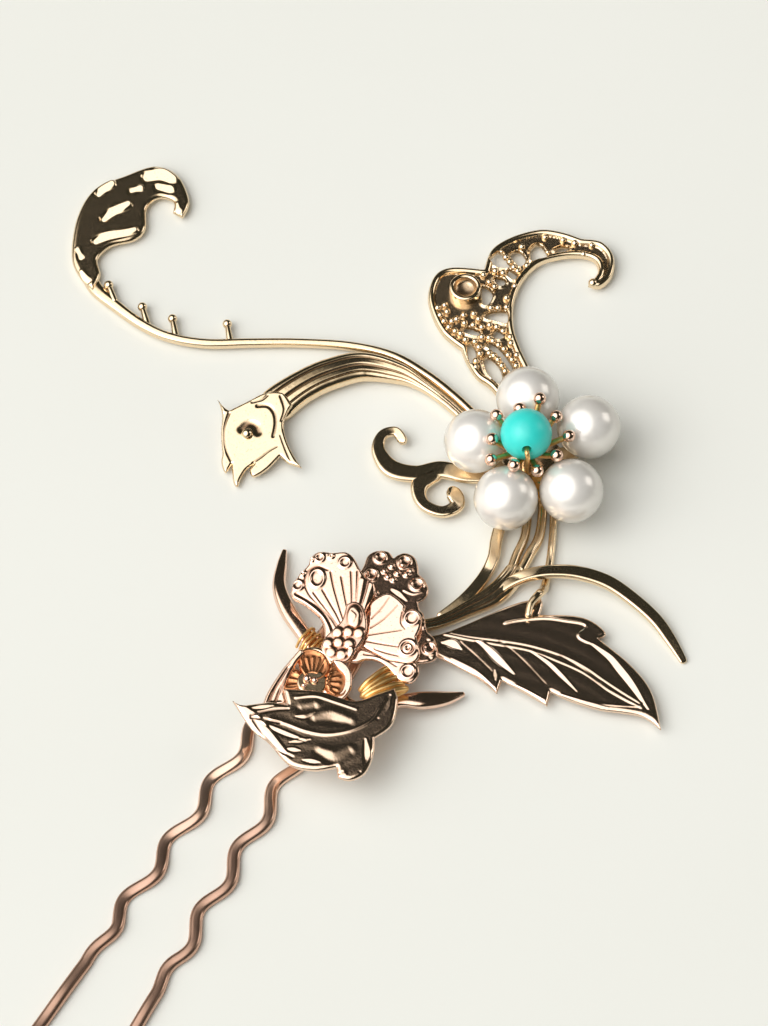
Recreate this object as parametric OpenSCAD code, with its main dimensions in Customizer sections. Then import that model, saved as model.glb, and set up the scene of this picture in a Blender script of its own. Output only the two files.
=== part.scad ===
// A two-pronged hair fork with a cast spray bound to its crown: a butterfly, a blossom, two
// leaves, grass, a trumpet flower, a tendril, a cloud scroll and a pierced wing round a flower
// of five pearls. It lies on z = 0, with the top of the fork's crown at the origin. The prongs
// run along -y and the spray spreads to +y.

/* [Fork] */
// Length of a prong below the crown
prong_l = 80; // [60:1:100]
// Width of the flat wire
fork_w = 1.6; // [1.4:0.1:2]
// Thickness of the flat wire
fork_t = 1.1; // [1:0.1:1.3]
// Distance from the middle line to a prong at the crown
crown_r = 2.6; // [2.2:0.1:3]
// How far a prong has moved outwards at its tip
splay = 3.1; // [1:0.1:5]
// Height of the waves in a prong
wave_h = 0.8; // [0:0.1:1.2]
// Length of one wave
wave_l = 9.3; // [8:0.1:12]

/* [Pearl flower] */
// Diameter of a pearl
pearl_d = 8; // [7:0.1:8.1]
// Diameter of the turquoise bead
bead_d = 6.4; // [5.5:0.1:6.6]
// Diameter of the small balls on the stamens
ball_d = 1.5; // [1:0.1:1.6]
// Diameter of the posts that the pearls are glued on
post_d = 0.9; // [0.7:0.1:1]
// Height of the pearls' middles above the ground
pearl_z = 6.5; // [6.5:0.1:7]

/* [Spray] */
// Angle between the fork's middle line and the upright of the spray
lean = 30; // [25:1:35]
// Thickness of the pierced wing's sheet
wing_t = 1.1; // [0.9:0.1:1.3]
// Width of the wing's raised border
border_w = 0.8; // [0.6:0.1:1]
// Thickness of the cloud scroll
scroll_t = 1.1; // [0.9:0.1:1.5]
// Diameter of the wire of the two bindings
tie_d = 0.55; // [0.4:0.05:0.6]

/* [Hidden] */
gold = [0.86, 0.68, 0.52];
wire_gold = [0.88, 0.72, 0.36];
// Middle of the crown's round
crown_c = [0, -crown_r];
// Where the spray's own zero lies on the fork
spray_at = crown_c + [-0.65, 0];
// Middle of the pearl flower in the spray's plan
flower = [23.5, 22.1];

// Smooth curves

function held(p, i) = p[max(0, min(i, len(p) - 1))];
function between(a, b, c, d, t) =
    b + 0.5 * t * ((c - a) + t * ((2 * a - 5 * b + 4 * c - d) + t * (3 * (b - c) + d - a)));
// Rows of numbers filled in to a smooth curve, n steps from one row to the next
function curve(p, n) = concat(
    [for (i = [0:len(p) - 2], k = [0:n - 1])
        between(held(p, i - 1), p[i], p[i + 1], held(p, i + 2), k / n)],
    [p[len(p) - 1]]);
// Closed outline of stretches: each is smooth and starts where the one before it ends
function outline(stretches, n) = [for (s = stretches) let (c = curve(s, n))
    each [for (k = [0:len(c) - 2]) c[k]]];
function turned(p) = [for (i = [len(p) - 1:-1:0]) p[i]];
function cross_sum(p) = [for (i = 0, s = 0; i < len(p);
    s = s + p[i].x * p[(i + 1) % len(p)].y - p[(i + 1) % len(p)].x * p[i].y, i = i + 1)
    s + p[i].x * p[(i + 1) % len(p)].y - p[(i + 1) % len(p)].x * p[i].y];
function leftwards(p) = cross_sum(p)[len(p) - 1] > 0 ? p : turned(p);
function unit(v) = v / norm(v);
function flat(v) = [v.x, v.y];
function heading(p, i) = unit(flat(held(p, i + 1)) - flat(held(p, i - 1)));
function left_of(d) = [-d.y, d.x];
// Point of a spine that is nearest to a place
function nearest(q, spine) = let (d = [for (s = spine) norm(s - q)], m = min(d))
    spine[[for (i = [0:len(d) - 1]) if (d[i] == m) i][0]];
// Outline of a flat band along rows of [x, y, width]
function band(rows, n, less = 0) = let (r = curve(rows, n)) concat(
    [for (i = [0:len(r) - 1]) flat(r[i]) + left_of(heading(r, i)) * (r[i][2] - less) / 2],
    [for (i = [len(r) - 1:-1:0]) flat(r[i]) - left_of(heading(r, i)) * (r[i][2] - less) / 2]);

// Closed skin over rings with the same number of points, each turning left seen from the end
module skin(rings) {
    m = len(rings[0]);
    last = len(rings) - 1;
    sides = [for (i = [0:last - 1], k = [0:m - 1])
        let (a = i * m + k, b = i * m + (k + 1) % m) each [[a, b + m, b], [a, a + m, b + m]]];
    polyhedron(points = [for (r = rings) each r],
        faces = concat(sides, [[for (k = [0:m - 1]) k]], [[for (k = [m - 1:-1:0]) last * m + k]]));
}

// Cast blade, flat below and round above, along rows of [x, y, underside, width, height]
module blade(rows, n = 4) {
    r = curve(rows, n);
    section = [[-0.85, 0], [-1, 0.4], [-0.45, 1], [0.45, 1], [1, 0.4], [0.85, 0]];
    skin([for (i = [0:len(r) - 1]) let (s = left_of(heading(r, i))) [for (q = section)
        [r[i].x - s.x * q.x * r[i][3] / 2, r[i].y - s.y * q.x * r[i][3] / 2,
            r[i].z + q.y * r[i][4]]]]);
}

// Round wire through the places given, with the number of sides given
module wire(path, d, sides = 5) {
    last = len(path) - 1;
    function way(i) = unit(path[min(i + 1, last)] - path[max(i - 1, 0)]);
    // A direction square to the wire, carried along from ring to ring
    first = unit(cross(way(0), [0.31, 0.17, 0.94]));
    across = [for (i = 0, a = first; i <= last;
        i = i + 1, a = unit(a - way(min(i, last)) * (a * way(min(i, last))))) a];
    skin([for (i = [0:last]) let (a = across[i], b = cross(way(i), a)) [for (k = [0:sides - 1])
        path[i] + (a * cos(360 * k / sides) + b * sin(360 * k / sides)) * d / 2]]);
}

// Casting whose outline is drawn in to a spine; rows of relief are [share of the way in, height]
module casting(shape, spine, relief, base) {
    s = leftwards(shape);
    near = [for (q = s) nearest(q, spine)];
    skin(concat([[for (q = s) [q.x, q.y, base]]],
        [for (r = relief) [for (i = [0:len(s) - 1]) let (q = s[i] + (near[i] - s[i]) * r[0])
            [q.x, q.y, base + r[1]]]]));
}

// Small ball of a casting
module bead(x, y, z, d) translate([x, y, z]) hull() sphere(d = d, $fn = 6);

// Grain, coarser than a ball because it is so small
module grain(x, y, z, d) translate([x, y, z]) hull() sphere(d = d, $fn = 5);

// Raised rib from one place to another, with its diameter at each end
module rib(a, da, b, db, sides = 4) hull() {
    translate(a) sphere(d = da, $fn = sides);
    translate(b) sphere(d = db, $fn = sides);
}

// Round boss with a dished top, and a ball in it where one is asked for
module boss(x, y, z, d, ball) {
    translate([x, y, z]) difference() {
        cylinder(d = d, h = 0.9, $fn = 8);
        translate([0, 0, 0.45]) cylinder(d = d - 0.7, h = 1, $fn = 8);
    }
    if (ball) grain(x, y, z + 0.55, d * 0.45);
}

// Puts a piece of the spray on the fork
module on_fork() translate(spray_at) rotate(lean) children();

// Fork of flat wire

// Share of the full wave at a distance below the crown
function wave_on(t) = max(0, min(1, (t - 12) / 5, (54 - t) / 6));
// Distance below the crown at which a prong's first full wave lies furthest out
function first_wave(side) = side < 0 ? 26 : 22.8;
// Middle of a prong at a distance below the crown; side is -1 or 1
function prong(side, t) = crown_c + [side * (crown_r + splay * t / prong_l)
    - wave_h * wave_on(t) * cos(360 * (t - first_wave(side)) / wave_l), -t];
// Rows of [x, y, width] at the round tip of a prong, from the end inwards
function tip_rows(side) = [for (a = [80:-20:20])
    concat(prong(side, prong_l + fork_w / 2 * sin(a)), [fork_w * cos(a)])];
// Rows from one tip round the crown to the other tip
fork_rows = concat(
    tip_rows(-1),
    [for (t = [prong_l:-1:0]) concat(prong(-1, t), [fork_w])],
    [for (a = [165:-15:15]) concat(crown_c + crown_r * [cos(a), sin(a)], [fork_w])],
    [for (t = [0:1:prong_l]) concat(prong(1, t), [fork_w])],
    turned(tip_rows(1)));

module hair_fork() color(gold) linear_extrude(fork_t) polygon(band(fork_rows, 1));

// Crescent behind the butterfly

crescent_z = fork_t + 0.25;
// Columns: x, y, underside, width and height
crescent_rows = [
    [-7.5, 11.3, 0.4, 0.6, 0.6],
    [-7.9, 8.6, 0.6, 1.4, 1.1],
    [-8.1, 5.4, 0.9, 1.8, 1.3],
    [-7.0, 2.0, 1.2, 2.1, 1.3],
    [-4.9, -1.6, crescent_z, 2.0, 1.2],
    [-2.7, -5.0, crescent_z, 2.2, 1.2],
    [-1.6, -8.4, crescent_z, 2.4, 1.2],
    [0.4, -11.3, crescent_z, 2.2, 1.2],
    [3.5, -11.9, crescent_z, 1.9, 1.2],
    [6.7, -10.7, crescent_z, 1.7, 1.2],
    [9.4, -10.5, 1.2, 2.4, 1.3],
    [12.2, -10.0, 0.9, 1.9, 1.1],
    [14.7, -9.1, 0.6, 0.5, 0.6]];

module crescent() color(gold) on_fork() blade(crescent_rows, 2);

// Butterfly

fly_z = 2.85;
fly_outline = outline([
    [[-6.9, 4.3], [-6.4, 5.6], [-4.6, 8], [-3, 9.1], [-0.8, 9.2], [0.8, 8.4], [2.1, 7.4]],
    [[2.1, 7.4], [3.4, 9.2], [5, 9.3], [6, 8.6]],
    [[6, 8.6], [7.6, 8.8], [9.1, 7.2], [9.5, 5.8]],
    [[9.5, 5.8], [10.3, 3.8], [9, 1.4]],
    [[9, 1.4], [10.6, -0.8], [10.9, -2.8], [11.6, -4.6], [10.6, -6.1], [9.3, -6.6]],
    [[9.3, -6.6], [9.1, -8.3], [7.9, -9.2], [6.4, -8], [4.6, -6.3], [2.5, -6],
        [1.2, -5.9], [-0.4, -5.2], [-1.6, -4.2], [-2.4, -2.2]],
    [[-2.4, -2.2], [-3.6, 0.1], [-5.8, 1.9], [-6.9, 4.3]]], 2);
// Raised tongues of the wings: tip x, y, z and diameter, root x, y, z and diameter
tongues = [
    [-5.7, 3.7, 4.2, 1.9, -0.8, -1.6, 4.6, 1.0],
    [-3.2, 4.6, 4.5, 3.0, -0.4, -1.6, 4.9, 1.2],
    [-0.7, 5.2, 4.6, 1.7, 0.0, -1.4, 5.0, 1.0],
    [0.9, 5.2, 4.6, 1.5, 0.6, -1.0, 5.0, 1.1],
    [2.3, 4.6, 4.6, 1.3, 1.2, -0.6, 4.9, 0.9],
    [5.6, 1.6, 4.5, 2.8, 2.2, -3.4, 4.9, 1.8],
    [7.2, -1.2, 4.4, 2.8, 2.2, -3.9, 4.9, 1.8],
    [7.6, -4.8, 4.4, 2.8, 1.8, -4.6, 4.8, 1.6],
    [7.8, -8.0, 4.2, 2.3, 1.0, -5.4, 4.6, 1.3],
    [-3.4, 7.6, 3.6, 2.1, -1.2, 2.4, 3.8, 1.4],
    [-0.4, 7.2, 3.6, 2.1, 0.2, 2.4, 3.8, 1.4],
    [4.4, 7.7, 3.6, 2.2, 3.0, 2.4, 3.8, 1.4],
    [7.4, 6.9, 3.6, 2.3, 4.0, 1.6, 3.8, 1.4],
    [8.9, 3.7, 3.6, 2.3, 5.0, 0.8, 3.8, 1.4],
    [8.8, -0.6, 3.6, 2.2, 6.0, -1.6, 3.8, 1.4],
    [10.2, -4.7, 3.5, 2.3, 6.6, -4.4, 3.8, 1.4]];
// Dished bosses at tongue ends: x, y, underside and diameter
fly_bosses = [
    [-3.2, 4.7, 5.5, 2.6], [7.6, -4.8, 5.4, 2.3], [7.8, -8.1, 4.9, 2.0],
    [-3.4, 7.5, 4.2, 1.8], [-0.4, 7.1, 4.2, 1.8], [4.4, 7.6, 4.2, 1.9], [7.4, 6.8, 4.2, 2.0],
    [8.9, 3.6, 4.2, 2.0], [8.8, -0.7, 4.3, 1.9], [10.2, -4.7, 4.2, 2.0]];

module butterfly() color(gold) on_fork() {
    casting(fly_outline, [[1.2, -1.8]], [[0, 0.6], [0.1, 0.9], [0.6, 1.1], [0.9, 1.8]], fly_z);
    for (t = tongues) rib([t[0], t[1], t[2]], t[3], [t[4], t[5], t[6]], t[7], 5);
    for (b = fly_bosses) boss(b[0], b[1], b[2], b[3], b[2] > 4.5);
    // Domed head, the neck below it and the beaded body
    translate([1.6, -1.2, 5]) hull() sphere(d = 3, $fn = 8);
    bead(1.5, -2.9, 5, 2);
    for (row = [0:2], side = [-1, 0, 1])
        grain(0.6 - row * 0.45 + side * (1.1 - row * 0.12), -3.9 - row * 0.85 + side * 0.3,
            4.7 - row * 0.15, 1.3);
}

// Plum blossom, cupped

plum_c = [-3.9, -9.6];
plum_z = 2.85;
// Petals: direction in degrees, reach, greatest width, height of the rim and number of ribs
petals = [[14, 4.5, 4.0, 1.9, 2], [88, 4.7, 4.0, 1.9, 2], [150, 4.9, 3.2, 1.7, 2],
    [204, 6.9, 3.6, 1.3, 2], [285, 4.0, 3.8, 1.2, 0]];

// Height of each petal above the one before it
petal_step = 0.12;

// One petal as a shallow dish with a thick rim, reaching out along +x
module petal(reach, width, rise, ribs) {
    edge = outline([[[0.6, 0], [reach * 0.4, -width * 0.42], [reach * 0.8, -width * 0.45],
        [reach, 0], [reach * 0.8, width * 0.45], [reach * 0.4, width * 0.42], [0.6, 0]]], 2);
    casting(edge, [[reach * 0.6, 0]],
        [[0, rise], [0.18, rise], [0.85, 0.7]], 0);
    for (k = [1:1:ribs]) let (side = k - (ribs + 1) / 2)
        rib([1, side * 0.5, 0.66], 0.7, [reach * 0.78, side * width * 0.4, rise * 0.65], 0.5);
}

module plum_blossom() color(gold) on_fork() translate([plum_c.x, plum_c.y, plum_z]) {
    for (i = [0:len(petals) - 1]) let (p = petals[i])
        translate([0, 0, i * petal_step]) rotate(p[0]) petal(p[1], p[2], p[3], p[4]);
    // Pistil on its boss with the five heads of the stamens round it
    translate([0, 0, 0.3]) cylinder(d = 3, h = 0.7, $fn = 10);
    bead(0, 0, 1.3, 1.7);
    for (k = [0:4]) grain(1.3 * cos(72 * k + 20), 1.3 * sin(72 * k + 20), 1.1, 0.9);
}

// Leaves

// Relief of a leaf: a raised rim, a hollow blade and a raised midrib
leaf_relief = [[0, 0.95], [0.1, 1.05], [0.2, 0.45], [0.8, 0.6], [0.93, 1.1]];
// Height of the side veins above the back of a leaf
vein_z = 0.4;

small_z = 5.15;
small_outline = outline([
    [[-13.6, -12.4], [-12.2, -13.1], [-9, -12.7], [-6.9, -13.1]],
    [[-6.9, -13.1], [-7.4, -10.9]],
    [[-7.4, -10.9], [-3, -11.2], [1.1, -12.5], [4, -11.6], [6.1, -10.8]],
    [[6.1, -10.8], [6.5, -12.6], [5.8, -15.8], [3.7, -17.6]],
    [[3.7, -17.6], [3.6, -19.8], [2.6, -22.3], [0.9, -23.3], [-0.7, -23]],
    [[-0.7, -23], [-0.9, -21.6]],
    [[-0.9, -21.6], [-3.6, -22], [-6.6, -21.2], [-9, -18.3], [-11.2, -16.3], [-13.6, -12.4]]], 2);
small_rib = [[-11.2, -14.3], [-8, -15.4], [-5, -16.5], [-1.9, -16.8], [1.1, -16], [3.6, -13.8],
    [4.9, -12]];

module small_leaf() color(gold) on_fork() {
    casting(small_outline, curve(small_rib, 4), leaf_relief, small_z);
    // Side veins: each from a place on the midrib towards the edge
    for (v = [[-8.6, -15.2, -8.2, -13.4], [-4.4, -16.6, -4.8, -12.2], [-0.4, -16.5, -0.6, -13.2],
        [2.4, -14.9, 3.4, -12.9], [-8.2, -15.4, -7.4, -18.6], [-5, -16.6, -4, -20.6],
        [-1.4, -16.8, 0.6, -21.4], [1.4, -15.9, 3.8, -16.4]])
        rib([v[0], v[1], small_z + vein_z], 0.7, [v[2], v[3], small_z + vein_z - 0.1], 0.5);
    // Stem that the binding goes round
    rib([3.4, -14.2, small_z + 0.1], 0.9, [4.2, -12.4, 3.7], 0.6);
    rib([4.2, -12.4, 3.7], 0.6, [6, -8.6, 3.7], 0.6);
}

large_z = 0.75;
large_outline = outline([
    [[7.6, -1.6], [11.4, -1.2], [15, 0.3], [18.4, 2], [21.4, 3.3], [24.2, 4]],
    [[24.2, 4], [24.4, 3], [24, 1.6]],
    [[24, 1.6], [28, 1.5], [30.4, 0.7], [32.1, -1], [31.2, -1.8]],
    [[31.2, -1.8], [35, -5.4], [37.5, -9.2], [38.5, -14.4]],
    [[38.5, -14.4], [36, -12.5], [31, -11.6], [27.5, -10.4], [25.1, -9.2]],
    [[25.1, -9.2], [24.7, -11.1]],
    [[24.7, -11.1], [21.8, -9.2], [19.2, -7.6]],
    [[19.2, -7.6], [18.6, -9.4]],
    [[18.6, -9.4], [16.2, -7.2], [12.5, -5], [10.2, -4], [7.8, -3.6], [7.6, -1.6]]], 2);
large_rib = [[9, -1.9], [12.4, -1.2], [16.5, -1], [21.5, -1.8], [26, -3.5], [30, -6],
    [33.1, -8.5], [37.2, -12.6]];

module large_leaf() color(gold) on_fork() {
    casting(large_outline, curve(large_rib, 4), leaf_relief, large_z);
    for (v = [[14, -1.1, 17.6, -5.6], [17.4, -1.1, 21.4, -6.4], [21, -1.7, 26, -7.8],
        [25, -3.1, 30.2, -9.6], [29, -5.4, 33.6, -10.6], [15.6, -1, 20.6, 1.8],
        [20, -1.5, 26.4, 0.4], [25, -3, 31, -2.9], [29, -5.4, 34.6, -7]])
        rib([v[0], v[1], large_z + vein_z], 0.7, [v[2], v[3], large_z + vein_z - 0.1], 0.5);
}

// Grass: two stems and two blades cast in one

// Columns: x, y, underside, width and height
trunk_rows = [[8.2, -0.3, 1.1, 1.6, 1.2], [11.6, 0.6, 0.6, 1.6, 1.4], [15.2, 2.6, 0.3, 2.2, 1.5],
    [18.4, 4.6, 0.3, 2.9, 1.5], [20.4, 6.8, 0.3, 2.9, 1.5], [21.6, 9, 0.3, 2.6, 1.4]];
stem_rows = [
    [[20.3, 7.4, 0.3, 1.2, 1.4], [21.2, 10.2, 0.3, 1.2, 1.3], [22.3, 13, 0.3, 1.2, 1.2],
        [22.8, 17, 0.3, 1.2, 1.2], [22.9, 20.5, 0.3, 1.2, 1.2]],
    [[21.6, 7.6, 0.3, 1.3, 1.4], [22.8, 10.2, 0.3, 1.3, 1.3], [24.1, 13, 0.3, 1.3, 1.2],
        [24.6, 17, 0.3, 1.2, 1.2], [24.4, 20.5, 0.3, 1.2, 1.2]]];
left_blade_rows = [[11.4, 1.2, 0.3, 1.2, 1.2], [14.6, 3.8, 0.3, 1.5, 1.4],
    [17, 6.8, 0.3, 1.6, 1.4], [18.3, 9.6, 0.3, 1.6, 1.3], [18.8, 12.6, 0.3, 1.6, 1.2],
    [19.6, 15.4, 0.3, 1.5, 1.2], [21, 17.6, 0.3, 1.3, 1.2]];
right_blade_rows = [[20.4, 6.2, 0.3, 2, 1.5], [23.2, 7, 1.3, 1.8, 1.3],
    [26, 7.3, 1.45, 1.8, 1.3], [29, 7.1, 1.3, 1.9, 1.3], [32.4, 6, 1.1, 1.9, 1.2],
    [35.4, 3.9, 0.8, 1.8, 1.1], [38.2, 1.2, 0.5, 1.7, 1], [40, -1.4, 0.2, 1.5, 0.8],
    [41.7, -4.5, 0, 0.9, 0.5]];

module grass_spray() color(gold) on_fork() {
    blade(trunk_rows, 2);
    for (s = stem_rows) blade(s, 2);
    blade(left_blade_rows, 2);
    blade(right_blade_rows, 2);
    // Two fine ribs along the trunk
    for (side = [-0.55, 0.55]) {
        r = curve(trunk_rows, 1);
        for (i = [0:len(r) - 2]) rib(
            [r[i].x + side * 0.5, r[i].y - side * 0.8, r[i].z + r[i][4]], 0.6,
            [r[i + 1].x + side * 0.5, r[i + 1].y - side * 0.8, r[i + 1].z + r[i + 1][4]], 0.6);
    }
}

// Twig: passes under the right blade and ends over the large leaf

twig_path = curve([[26.0, 17.6, 0.8], [25.9, 14.8, 0.75], [25.6, 11.2, 0.7], [25.1, 8, 0.6],
    [24.8, 6.5, 0.6], [24.5, 5.3, 1.2], [24, 4.1, 2.45], [22.6, 2.2, 2.6], [22.5, 0.7, 2.5]], 3);

module twig() color(gold) on_fork() wire(twig_path, 1.05);

// Pierced wing with grain

wing_z = 0.1;
wing_outline = outline([
    [[22.6, 25.2], [21.6, 28.4], [18.7, 33.9], [16.5, 36], [15.2, 38.4], [14.6, 40.2]],
    [[14.6, 40.2], [12.3, 42.4], [10.9, 45.4], [10.4, 48.4], [11.3, 51.4], [13.5, 52.6],
        [17.6, 52.3]],
    [[17.6, 52.3], [18.6, 55.3], [21.3, 57.3], [24.9, 58.4], [27.8, 58], [30.3, 57]],
    [[30.3, 57], [32.9, 56.5], [34.4, 54.4], [34.2, 51.5], [32.6, 49.6], [30.9, 49.9]],
    [[30.9, 49.9], [32.2, 51.8], [31.9, 53.5], [30.1, 54.2], [27.4, 54], [24.6, 52.9],
        [22.6, 50.4], [21.5, 47.2], [21.4, 43.6], [22.2, 40.4], [23.6, 36.6], [24.4, 32],
        [24.4, 28], [24, 25.4]],
    [[24, 25.4], [22.6, 25.2]]], 2);
// Openings cut through the sheet between the chains of grains
wing_cells = [
    [[18.4, 53.8], [19.6, 54.9], [20.4, 54], [20.9, 52.8], [19.4, 52.8]],
    [[21, 54.5], [21.6, 55], [22.4, 54.9], [23, 53.8], [22.4, 52.9], [21.8, 53.4]],
    [[23.7, 55.3], [24.3, 56], [25.1, 55.8], [25.8, 54.3], [24.6, 53.9], [23.8, 53.8]],
    [[26.8, 55.3], [27.6, 55.7], [28.5, 55.6], [28.3, 55.1], [27.2, 54.9]],
    [[20.9, 52.3], [21.8, 51.5], [21.4, 50.9], [20.7, 51.5]],
    [[19.1, 51.1], [20.2, 50.8], [20.3, 50.2], [19.7, 49.9], [19.2, 50.5]],
    [[17.3, 49.7], [18, 49.5], [18.7, 48.5], [18.1, 47.1], [17.5, 47.3]],
    [[17.8, 45.4], [18.6, 45.8], [20.4, 45.8], [20.5, 44.3], [19.2, 44.6], [17.8, 45]],
    [[14.9, 43.1], [15.5, 43.5], [16.9, 42.9], [16.7, 42.4], [15.5, 42.7]],
    [[18.7, 42.5], [19.2, 43.1], [20.1, 42.4], [19.6, 41.9], [18.9, 42.1]],
    [[15.4, 40.7], [15.9, 41], [16.5, 39.6], [15.9, 38], [15.5, 39.3]],
    [[17.9, 40.7], [18.5, 41.1], [19.8, 39.9], [21.2, 37.4], [20.9, 37], [19.3, 39.4]],
    [[17.5, 38.6], [18.1, 39], [19.4, 37.6], [19.8, 36], [19.4, 35.2], [18.1, 36.6]]];
// Chains of grains: the places that they run through and how many grains each has
chains = [
    [[[20.5, 54.1], [22, 52]], 4],
    [[[17.6, 51.4], [19, 49.6]], 3],
    [[[18.5, 46.4], [20.5, 46.5]], 3],
    [[[15.1, 44.1], [17.3, 43.6], [19.2, 43.5], [20.9, 42], [21.7, 39.3]], 9],
    [[[15.2, 41.7], [16.9, 40.5], [16.7, 37.5]], 6],
    [[[18.7, 41.5], [20.1, 40.2], [21.6, 37.7]], 6],
    [[[18.2, 39.6], [19.3, 38.6], [20.2, 36.9]], 5]];
// Single grains: x and y
single_grains = [[19.1, 52], [20.1, 51.7], [23.2, 52.6], [21.6, 49.7], [20.5, 47.9],
    [17.3, 42], [18.1, 41.9]];
cup_at = [15.2, 48.9];

module filigree_wing() color(gold) on_fork() translate([0, 0, wing_z]) {
    linear_extrude(wing_t) difference() {
        polygon(wing_outline);
        for (c = wing_cells) polygon(c);
    }
    // Raised border
    linear_extrude(wing_t + 0.5) difference() {
        polygon(wing_outline);
        offset(delta = -border_w) polygon(wing_outline);
    }
    // Empty cup for a stone
    translate([cup_at.x, cup_at.y, 0]) difference() {
        cylinder(d = 4.1, h = wing_t + 1.3, $fn = 14);
        translate([0, 0, wing_t + 0.3]) cylinder(d = 3.2, h = 2, $fn = 14);
    }
    for (c = chains) for (k = [0:c[1] - 1])
        let (line = curve(c[0], 8), q = line[round(k * (len(line) - 1) / (c[1] - 1))])
            grain(q.x, q.y, wing_t + 0.1, 0.8);
    for (g = single_grains) grain(g.x, g.y, wing_t + 0.1, 0.95);
    // Field of grains beside the cup
    for (i = [0:1], k = [0:3]) grain(12.5 + i * 1.1 + k * 0.12, 43.2 + k * 1.05 - i * 0.3,
        wing_t + 0.1, 1);
}

// Tendril: a long stem, four ball pins and a curled plume

// Columns: x, y, underside, width and height
tendril_rows = [[21.6, 24.3, 0.35, 1, 1.2], [18.8, 27.4, 0.35, 1.1, 1.2], [15.9, 31, 0.35, 1.15, 1.2],
    [13.3, 33.8, 0.35, 1.2, 1.2], [10.2, 36.6, 0.35, 1.2, 1.2], [6, 39.4, 0.35, 1.2, 1.2],
    [0.6, 40.9, 0.35, 1.2, 1.2], [-6, 41.4, 0.35, 1.2, 1.2], [-12, 41.4, 0.35, 1.25, 1.2],
    [-17.8, 41.3, 0.35, 1.3, 1.2], [-22.4, 42.2, 0.35, 1.3, 1.2], [-26, 44.1, 0.3, 1.4, 1.2],
    [-29.4, 47, 0.2, 1.6, 1.2], [-32.2, 49.9, 0.1, 2, 1.2], [-33.6, 53.4, 0, 2.4, 1.2]];
plume_outline = outline([
    [[-34.5, 50.6], [-35.4, 54.5], [-35, 60.4], [-33, 65], [-29, 67.1], [-25, 68.5],
        [-22, 67], [-20.4, 63], [-21.2, 60.4]],
    [[-21.2, 60.4], [-22.5, 61.2]],
    [[-22.5, 61.2], [-22.5, 62.9], [-24.4, 63.4], [-25.9, 61.8], [-26, 58.6], [-27.4, 56.9],
        [-30.3, 56], [-32, 54], [-31.8, 51]],
    [[-31.8, 51], [-34.5, 50.6]]], 2);
plume_rib = [[-33, 52], [-33, 56], [-31.2, 60], [-28, 63.6], [-25.2, 65.6], [-22.6, 64.8],
    [-21.6, 62.2]];
// Ridges across the plume: from x and y to x and y
plume_ridges = [[-33.6, 62.6, -31, 65], [-33.6, 60.2, -28.4, 63.4], [-34, 57, -26.9, 59.8],
    [-29.6, 66, -27, 64], [-24.4, 67.4, -24.6, 65]];
// Ball pins: foot x and y, ball x and y
pins = [[-29.7, 47.8, -30.5, 50.1], [-25.4, 44.2, -26.1, 46.8], [-21.7, 42.3, -22.2, 45],
    [-14.8, 41.6, -15.2, 44.2]];

module tendril() color(gold) on_fork() {
    blade(tendril_rows, 2);
    casting(plume_outline, curve(plume_rib, 4), [[0, 1.1], [0.12, 1.3], [0.3, 0.9], [0.9, 1.4]], 0);
    for (r = plume_ridges) rib([r[0], r[1], 1.1], 1, [r[2], r[3], 1.1], 1);
    for (p = pins) {
        rib([p[0], p[1], 0.9], 0.7, [p[2], p[3], 1], 0.6);
        translate([p[2], p[3], 1]) hull() sphere(d = 1.15, $fn = 8);
    }
}

// Trumpet flower: a ribbed stalk that widens to a pointed mouth with a cup in it

// Columns: x, y, underside, width and height
stalk_rows = [[20.2, 23.4, 0.35, 1, 1.2], [17.6, 26.3, 0.35, 1.1, 1.2], [15.2, 29.6, 0.35, 1.1, 1.2],
    [12.6, 32.4, 0.35, 1.2, 1.3], [9.8, 34.8, 0.35, 1.5, 1.5], [6.7, 36.6, 0.35, 2.8, 1.8],
    [2.1, 37.5, 0.35, 4, 2.1], [-2, 36.4, 0.35, 4.3, 2.3], [-5.3, 34.7, 0.35, 4.4, 2.4],
    [-8.3, 32.4, 0.35, 4.8, 2.4], [-10.4, 29.6, 0.35, 5.6, 2.2], [-11.4, 27.6, 0.35, 5.8, 1.8]];
mouth_outline = outline([
    [[-12.8, 31.6], [-14.2, 30.9], [-16.9, 33.1]],
    [[-16.9, 33.1], [-16, 30], [-15.6, 27.5], [-14.9, 24.2], [-14.1, 22], [-13.4, 19.4]],
    [[-13.4, 19.4], [-12.6, 21.8], [-11.2, 23.2]],
    [[-11.2, 23.2], [-11.5, 21.1], [-10, 22.4], [-8.1, 24]],
    [[-8.1, 24], [-5.6, 22.7]],
    [[-5.6, 22.7], [-7, 25.2], [-7.8, 29.3]],
    [[-7.8, 29.3], [-10.6, 31.4], [-12.8, 31.6]]], 2);
mouth_c = [-11.8, 27.2];

module trumpet_flower() color(gold) on_fork() {
    blade(stalk_rows, 2);
    casting(mouth_outline, [mouth_c], [[0, 1.35], [0.14, 1.45], [0.8, 0.95]], 1);
    // Ribs that run along the stalk
    for (side = [-0.25, 0.25]) for (i = [5:9]) let (a = stalk_rows[i], b = stalk_rows[i + 1])
        rib([a[0] + side * 0.3 * a[3], a[1] + side * a[3], a[2] + a[4] * 0.85], 0.7,
            [b[0] + side * 0.5 * b[3], b[1] + side * b[3], b[2] + b[4] * 0.85], 0.8);
    translate([mouth_c.x, mouth_c.y, 1.6]) difference() {
        cylinder(d = 3, h = 1.5, $fn = 10);
        translate([0, 0, 0.7]) cylinder(d = 2.1, h = 1, $fn = 10);
    }
    translate([mouth_c.x, mouth_c.y, 2.6]) hull() sphere(d = 1.3, $fn = 8);
}

// Cloud scroll of two curls, flat on top with a bevelled edge

scroll_top = 1.75;
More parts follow.
